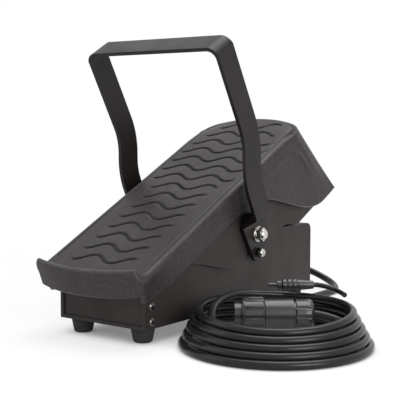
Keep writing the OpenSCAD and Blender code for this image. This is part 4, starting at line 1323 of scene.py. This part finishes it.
@dataclass
class Handle(SubAssembly):
    """Bail handle and the bolts that hold it to the box's sides."""

    # Rounding of the strap's edges, and the shortest edge that the rounding can pass
    edge: float = 1.0
    shortest: float = 0.3
    # Domes on the bolts' heads, and how far they sink into them
    dome_height: float = 3.0
    dome_radius: float = 5.6
    dome_sunk: float = 0.6
    dome_tip: float = 0.02
    dome_rows: int = 12
    dome_sides: int = 40

    def caps(self) -> None:
        """Low domes on the heads of the pivot bolts.

        The radius falls as a quarter ellipse over the dome's height.
        """
        low, high = corners("pivot_bolts")
        turn = np.linspace(0, math.pi / 2, self.dome_rows)
        profile = np.stack([self.dome_height * np.sin(turn), self.dome_radius * np.cos(turn)], -1)
        profile = np.vstack([[-self.dome_sunk, self.dome_radius], profile[:-1],
                             [self.dome_height, self.dome_tip]])
        ring = revolve(profile, self.dome_sides)
        skin = Skin()
        for side in (-1.0, 1.0):
            points = ring.copy()
            points[..., 0] = side * (high[0] + ring[..., 0])
            points[..., 1:] += (low[1:] + high[1:]) / 2
            number = skin.grid(points, wrap_columns=True)
            skin.cap(number[0])
            skin.cap(number[-1])
        piece = skin.mesh("pivot_bolt_domes")
        self.wardrobe.dress(piece, Coat.BRIGHT_ZINC)
        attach(piece, self.body("pivot_bolts"))
        self.report(piece)

    def build(self) -> None:
        """Makes the handle and its hardware."""
        strap = self.rounded("handle", Coat.HANDLE_PAINT, self.edge, 3, 28, self.shortest)
        # Painted highlight: the rounding's faces get the pale second finish, in place of the light on
        # the strap's bends.
        self.wardrobe.add(strap, Coat.EDGE_HIGHLIGHT)
        strap.modifiers["rounding"].material = 1
        for node, width in (("pivot_washers", 0.35), ("spacing_washers", 0.3),
                            ("lower_spacers", 0.3), ("pivot_nuts", 0.4), ("lower_nuts", 0.3),
                            ("lower_bolts", 0.35)):
            self.rounded(node, Coat.BRIGHT_ZINC, width)
        self.rounded("lower_washers", Coat.BLACK_SCREW, 0.3)
        self.rounded("pivot_bushes", Coat.SINTERED_BRONZE, 0.2)
        self.rounded("pivot_bolts", Coat.BRIGHT_ZINC, 0.5, 3)
        self.caps()


@dataclass
class Works(SubAssembly):
    """Springs, gear train, sensor, switch and terminals inside the box."""

    # Shortest edge that the rounding of these small parts can pass
    shortest: float = 0.05

    def build(self) -> None:
        """Dresses the inner pieces."""
        self.keep("return_springs", Coat.BRIGHT_ZINC)
        for node, coat, width in (
                ("spring_anchor", Coat.SHEET_ZINC, 0.2), ("drive_sector", Coat.SHEET_ZINC, 0.15),
                ("sector_screws", Coat.BRIGHT_ZINC, 0.2), ("drive_pinion", Coat.PIN_BRASS, 0.1),
                ("pot_shaft", Coat.BRIGHT_ZINC, 0.2), ("pot_body", Coat.HOUSING, 0.4),
                ("pot_nut", Coat.BRIGHT_ZINC, 0.25), ("pot_bracket", Coat.SHEET_ZINC, 0.2),
                ("switch_body", Coat.BLACK_PLASTIC, 0.3), ("switch_plunger", Coat.PALE_PLASTIC, 0.2),
                ("switch_lever", Coat.BRIGHT_ZINC, 0.1), ("switch_bracket", Coat.SHEET_ZINC, 0.2),
                ("switch_screws", Coat.BRIGHT_ZINC, 0.2), ("bracket_screws", Coat.BRIGHT_ZINC, 0.2),
                ("terminal_block", Coat.PALE_PLASTIC, 0.4), ("terminal_screws", Coat.BRIGHT_ZINC, 0.2)):
            self.rounded(node, coat, width, merge=self.shortest)


@dataclass
class Lead(SubAssembly):
    """Gland, the coiled lead, its thin branch and both plugs."""

    diameter: float = 8.0
    branch_diameter: float = 5.0
    sides: int = 18
    branch_sides: int = 14
    step: float = 4.0
    branch_step: float = 3.0
    # Coil: its middle, how it is turned, its outer radius and the pitch of its turns
    centre: tuple[float, float] = (151.0, -76.0)
    turn: float = 36.7
    outer: float = 88.0
    pitch: float = 8.15
    # Where the stacked turns start and end, and where each climbs onto the next, in degrees
    start: float = 143.3
    end: float = 1890.0
    stride: float = 12.0
    climb_from: float = 70.0
    climb_to: float = 135.0
    # Height of a turn over the one below at the far side, and how much less it is at the near
    rise: float = 7.6
    rise_less: float = 1.8
    # Plug: half its length, and the place of its middle across and above the coil's middle
    plug_half: float = 39.0
    plug_across: float = 27.96
    plug_up: float = 24.8
    # Grips: how many, how deep a groove is as a share of the radius, the radius from which it
    # is cut, and the points drawn for each
    ring_grips: int = 12
    nut_grips: int = 10
    grip_cut: float = 0.075
    ring_cut_from: float = 16.4
    nut_cut_from: float = 14.4
    grip_points: int = 14
    # Where a groove starts and is at its full depth, as the cosine of the turn times the ribs
    grip_from: float = 0.45
    grip_to: float = 0.75
    # Kink sleeve: hub, then a cone with rings
    hub_length: float = 12.0
    hub_radius: float = 5.4
    sleeve_radius: float = 6.2
    sleeve_taper: float = 1.5
    sleeve_tip: float = 4.15
    sleeve_rings: int = 6
    sleeve_ripple: float = 0.45
    # The share of the cone between which the rings lie, and the short steps at its two ends
    ringed: tuple[float, float] = (0.08, 0.94)
    hub_step: float = 0.4
    tip_step: float = 0.2
    sleeve_rows: int = 66
    sleeve_sides: int = 40
    # Sections of the coupling ring and of the clamp nut: distance from the nose, and radius
    ring_section: tuple[tuple[float, float], ...] = (
        (8, 12.6), (8, 15.2), (8.9, 15.9), (10.4, 15.9), (10.8, 16.5), (19, 16.5),
        (28.3, 16.5), (28.8, 15.9), (29.4, 15.7), (30, 15.1), (30, 12.6))
    nut_section: tuple[tuple[float, float], ...] = (
        (60, 12.6), (60, 13.6), (60.8, 14.5), (61.6, 14.5), (68, 14.5), (74, 14.5),
        (75.2, 13.9), (76.4, 12.6), (78, 10.4), (78, 4.2), (64.2, 4.2), (64.2, 12.6),
        (60.2, 12.6))
    # First stretch: out of the gland, down to the floor and along the box to the coil
    run: list[Point] = field(default_factory=lambda: [
        (-10, 182.5, 32), (-10, 187, 31.9), (-8.8, 200.4, 31), (-5.1, 209.3, 29),
        (0.7, 216.8, 26), (8.3, 222.6, 22.3), (17.1, 226.3, 18.5), (26.5, 227.5, 14.8),
        (35.9, 226.3, 11.4), (44.8, 222.6, 8.6), (52.3, 216.8, 6.5), (58.1, 209.3, 5.1),
        (61.8, 200.4, 4.3), (63, 191, 4), (63, 178, 4), (63, 166, 4),
        (63, 146, 4), (63, 124, 4), (63, 102, 4), (63, 80, 4), (63, 58, 4), (63, 36, 4),
        (63, 14, 4), (63, -8, 4), (63, -26, 4), (63, -42, 4), (63, -60, 4)])
    # Turns that leave the stack inwards: degrees round the coil, radius, height
    inward: list[Point] = field(default_factory=lambda: [
        (480, 69.4, 38.2), (510, 64, 34.5), (540, 60, 27), (562, 57.5, 20), (585, 56, 13),
        (608, 54.6, 7), (630, 54, 4.4), (652, 53.5, 4), (675, 53, 4), (698, 52.5, 4), (720, 52, 4),
        (755, 51, 4), (782, 50.2, 4), (810, 49.5, 4), (838, 48.7, 4), (865, 48, 4), (900, 47, 4),
        (922, 46.5, 4.2), (945, 46, 5.4), (965, 45.4, 7.6), (982, 44.9, 9.4)])
    # Last stretch up to the plug, along and across the plug's line, and height
    tail: list[Point] = field(default_factory=lambda: [
        (5, -44.4, 10.8), (16, -42.6, 12), (27, -39.8, 13), (38.5, -38, 13.7),
        (51.1, -35.5, 14.2), (61.8, -28.3, 14.8), (69, -17.6, 15.6), (71.5, -5, 16.8),
        (69, 7.6, 18.4), (61.8, 18.3, 20.6), (51.1, 25.5, 23), (44, 27.6, 24.3),
        (39.5, 28, 24.8)])
    # Thin lead, from where it leaves the coil to its own plug
    branch: list[Point] = field(default_factory=lambda: [
        (184, -2.5, 41.4), (176.5, 3.4, 42.2), (166.5, 7.4, 43.8), (156.6, 7.8, 45.8),
        (148.9, 4.8, 46.9), (146.1, 2.7, 46.9)])

    def world(self, along: Array, across: Array, up: Array) -> Array:
        """Turns distances in the coil's own axes into the shared frame.

        Args:
            along: distances along the plug's line.
            across: distances square to it.
            up: heights.

        Returns:
            Rows of coordinates.
        """
        c, s = math.cos(math.radians(self.turn)), math.sin(math.radians(self.turn))
        return np.stack([self.centre[0] + along * c - across * s,
                         self.centre[1] + along * s + across * c, up], -1)

    def stack(self) -> Array:
        """The stacked turns.

        The lead lies on a staircase: each turn is level most of the way round and climbs onto
        the next in a short stretch. A turn sits one pitch from the turn below, steeper at the
        far side than at the near one.

        Returns:
            Points of the stack.
        """
        theta = np.arange(self.start, self.end + 1, self.stride)
        phase = (theta - self.climb_from) % 360
        climbed = np.clip(phase / (self.climb_to - self.climb_from), 0, 1)
        level = np.floor((theta - self.climb_from) / 360) + climbed ** 2 * (3 - 2 * climbed) - 1
        rad = np.radians(theta)
        rise = self.rise - self.rise_less * ((1 - np.sin(rad)) / 2) ** 2
        inset = np.sqrt(self.pitch ** 2 - rise ** 2)
        radius = self.outer - inset * level
        return self.world(radius * np.cos(rad), radius * np.sin(rad), self.diameter / 2 + rise * level)

    def route(self) -> Array:
        """The whole lead from the gland to the plug.

        Returns:
            Evenly spaced points.
        """
        degrees, radius, up = np.array(self.inward, float).T
        rad = np.radians(degrees)
        leave = self.world(radius * np.cos(rad), radius * np.sin(rad), up)
        tail = self.world(*np.array(self.tail, float).T)
        return smooth_route(np.vstack([self.run, self.stack(), leave, tail]), self.step)

    def grip(self, name: str, profile: Array, outside: float, ribs: int) -> bpy.types.Object:
        """Ring with wide grips between narrow grooves.

        A closed profile turns about the plug's line. Where it is at its full radius, the radius
        falls by a groove wherever the cosine of the rib count times the turn is near 1.

        Args:
            name: the piece's name.
            profile: closed loop of (distance from the plug's nose, radius).
            outside: radius from which the grooves are cut.
            ribs: number of grips.

        Returns:
            The ring.
        """
        sides = ribs * self.grip_points
        turn = np.arange(sides) * 2 * math.pi / sides
        groove = ramp(np.cos(ribs * turn), self.grip_from, self.grip_to)
        ripple = 1 - self.grip_cut * groove[None] * (profile[:, 1:2] >= outside)
        ring = revolve(profile, sides, ripple)
        placed = self.world(ring[..., 0] - self.plug_half, ring[..., 1] + self.plug_across,
                            ring[..., 2] + self.plug_up)
        skin = Skin()
        skin.grid(placed, wrap_rows=True, wrap_columns=True)
        return skin.mesh(name)

    def relief(self) -> bpy.types.Object:
        """Tapered sleeve with rings round it, which keeps the lead from kinking.

        Its radius falls along a straight line, with a cosine ripple for the rings.

        Returns:
            The sleeve.
        """
        low, high = corners("strain_relief")
        t = np.linspace(0, 1, self.sleeve_rows)
        foot = low[1] + self.hub_length
        along = foot + (high[1] - foot) * t
        rings = self.sleeve_ripple * (1 - np.cos(2 * np.pi * self.sleeve_rings * t)) / 2
        inside = (t > self.ringed[0]) * (t < self.ringed[1])
        radius = self.sleeve_radius - self.sleeve_taper * t - rings * inside
        hub = [[foot - self.hub_length, self.hub_radius], [foot - self.hub_step, self.hub_radius]]
        profile = np.vstack([hub, np.stack([along, radius], -1),
                             [[along[-1] + self.tip_step, self.sleeve_tip]]])
        ring = revolve(profile, self.sleeve_sides)
        centre = (low + high) / 2
        points = np.stack([ring[..., 1] + centre[0], ring[..., 0], ring[..., 2] + centre[2]], -1)
        skin = Skin()
        number = skin.grid(points, wrap_columns=True)
        skin.cap(number[0])
        skin.cap(number[-1][::-1])
        return skin.mesh("strain_relief_skin")

    def build(self) -> None:
        """Makes the main lead first, then the gland, sleeve and plug, then the thin lead and its plug.
        """
        path = self.route()
        length = float(distances(path)[-1]) * MM
        lead = self.settle(tube("main_lead", path, self.diameter, self.sides), Coat.JACKET,
                           "lead_run", "lead_coil", "lead_tail")
        for node, width in (("gland_body", 0.4), ("gland_dome", 0.6), ("gland_locknut", 0.4)):
            self.rounded(node, Coat.BLACK_PLASTIC, width)
        self.settle(self.relief(), Coat.FOOT_RUBBER, "strain_relief")
        plug = [self.rounded("plug_body", Coat.PLUG, 0.5),
                self.rounded("plug_insert", Coat.PLUG, 0.3),
                self.rounded("plug_pins", Coat.PIN_BRASS, 0.3)]
        ring = self.grip("plug_ring_skin", np.array(self.ring_section), self.ring_cut_from,
                         self.ring_grips)
        plug.append(self.settle(ring, Coat.PLUG, "plug_ring"))
        nut = self.grip("plug_nut_skin", np.array(self.nut_section), self.nut_cut_from,
                        self.nut_grips)
        plug.append(self.settle(nut, Coat.PLUG, "plug_nut"))
        thin = smooth_route(np.array(self.branch, float), self.branch_step)
        branch = self.settle(tube("thin_lead", thin, self.branch_diameter, self.branch_sides),
                             Coat.JACKET, "branch_lead")
        slim = self.rounded("slim_plug", Coat.PLUG, 0.4)
        float(distances(thin)[-1]) * MM
        LOG.info("main lead: %.3f m", length)


# ---------------------------------------------------------------- studio


@dataclass
class Studio:
    """Camera, floor, lamps and background."""

    place: Point = (0.62937, -0.83678, 0.21461)
    look: Point = (-0.59548, 0.79885, -0.08510)
    lens: float = 87.07
    sensor: float = 36.0
    # Floor: half its side, its own glow near the object, where that turns to plain white and
    # the middle of that, how near a surface has to be for the contact shadow painted into the
    # glow, how dark that painted shadow is and how open the floor is under it, and the paper's grey
    floor_half: float = 6.0
    floor_white: float = 0.76
    white_from: float = 0.25
    white_to: float = 0.75
    glow_middle: float = 0.05
    contact: float = 0.035
    contact_dark: float = 0.1
    contact_open: float = 0.8
    paper: float = 0.95
    # Share of the white background that lights the object
    world_fill: float = 0.32
    # Square lamps: name, place and target in metres, side in metres, watts
    lamps: tuple[tuple[str, Point, Point, float, float], ...] = (
        ("key", (1.7, -0.7, 0.55), (0.05, 0, 0.1), 1.0, 20.5),
        ("top", (0.1, 0.3, 1.7), (0, 0, 0.1), 1.3, 24.0),
        ("left", (-1.2, -1.2, 0.8), (0, 0, 0.1), 0.9, 4.0))

    def camera(self) -> None:
        """Makes the camera that looks over the right side from the heel."""
        data = bpy.data.cameras.new("camera")
        data.sensor_fit = "HORIZONTAL"
        data.sensor_width = self.sensor
        data.lens = self.lens
        camera = bpy.data.objects.new("camera", data)
        camera.location = self.place
        camera.rotation_euler = Vector(self.look).to_track_quat("-Z", "Y").to_euler()
        bpy.context.scene.collection.objects.link(camera)
        bpy.context.scene.camera = camera

    def lamp(self, name: str, place: Point, target: Point, size: float, power: float) -> None:
        """Makes a square soft lamp.

        Args:
            name: its name.
            place: where it stands, in metres.
            target: where it points.
            size: length of its side.
            power: watts.
        """
        data = bpy.data.lights.new(name, "AREA")
        data.shape = "SQUARE"
        data.size = size
        data.energy = power
        lamp = bpy.data.objects.new(name, data)
        lamp.location = place
        lamp.rotation_euler = (Vector(target) - Vector(place)).to_track_quat("-Z", "Y").to_euler()
        bpy.context.scene.collection.objects.link(lamp)

    def seen(self, graph: NodeGraph) -> Value:
        """Tells the rays that show the background from those that light the object.

        Args:
            graph: the node tree that asks.

        Returns:
            1 for a ray from the camera, a mirror or glass, and 0 for any other.
        """
        camera, glossy, through = (graph.node("ShaderNodeLightPath", output=name) for name in
                                   ("Is Camera Ray", "Is Glossy Ray", "Is Transmission Ray"))
        return graph.range(camera + glossy + through, 0, 1)

    def floor(self) -> None:
        """Makes the pale floor, which keeps the shadow near the object.

        It is a matt paper mixed with its own glow. The glow is for rays that show the
        background alone, and grows with the distance from the object. Where a surface stands
        close the glow is dimmed, which paints a contact shadow over the paper's own shadow.
        """
        half = self.floor_half / MM
        skin = Skin()
        skin.grid(half * np.array([[[-1, -1, 0], [1, -1, 0]], [[-1, 1, 0], [1, 1, 0]]], float))
        floor = skin.mesh("floor")
        if floor.data.polygons[0].normal.z < 0:
            floor.data.flip_normals()
        shader = Shader("floor_paper")
        shader.principled(Base_Color=(self.paper, self.paper, self.paper, 1.0), Roughness=0.9,
                          Specular_IOR_Level=0.2)
        sky = shader.node("ShaderNodeAmbientOcclusion", {"samples": 8},
                          {"Distance": self.contact}, output="AO")
        # Painted contact shadow: the glow dims where the floor is hemmed in by a surface.
        glow = shader.range(sky, 0.0, self.contact_open, self.contact_dark, 1.0)
        white = shader.node("ShaderNodeEmission", None, {"Color": (1, 1, 1, 1), "Strength": glow})
        place = shader.place()
        x, y = (shader.node("ShaderNodeSeparateXYZ", None, {0: place}, output=axis) for axis in "XY")
        away = ((x - self.glow_middle) * (x - self.glow_middle) + y * y) ** 0.5
        share = shader.range(away, self.white_from, self.white_to, self.floor_white, 1.0)
        paper = Value(shader, shader.bsdf.outputs[0])
        mix = shader.node("ShaderNodeMixShader", None,
                          {0: share * self.seen(shader), 1: paper, 2: white})
        shader.tree.links.new(mix.socket, shader.out.inputs["Surface"])
        floor.data.materials.append(shader.material)

    def world(self) -> None:
        """White background, dimmer where it only lights the object."""
        world = bpy.data.worlds.new("studio")
        bpy.context.scene.world = world
        world.use_nodes = True
        graph = NodeGraph(world.node_tree)
        out = graph.tree.nodes.new("ShaderNodeOutputWorld")
        strength = self.world_fill + (1 - self.world_fill) * self.seen(graph)
        back = graph.node("ShaderNodeBackground", None, {"Color": (1, 1, 1, 1), "Strength": strength})
        graph.tree.links.new(back.socket, out.inputs["Surface"])

    def build(self) -> None:
        """Makes the whole studio but the camera."""
        self.floor()
        self.world()
        for lamp in self.lamps:
            self.lamp(*lamp)
        bpy.context.scene.view_settings.view_transform = "Standard"


def main() -> None:
    """Builds the camera and the lead first, then the rest of the object and the studio."""
    logging.basicConfig(level=logging.INFO, format="%(message)s")
    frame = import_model()
    wardrobe = Wardrobe()
    studio = Studio()
    studio.camera()
    for part in (Lead(frame, wardrobe), BaseBox(frame, wardrobe), Pedal(frame, wardrobe),
                 Handle(frame, wardrobe), Works(frame, wardrobe)):
        part.build()
    studio.build()


if __name__ == "__main__":
    main()
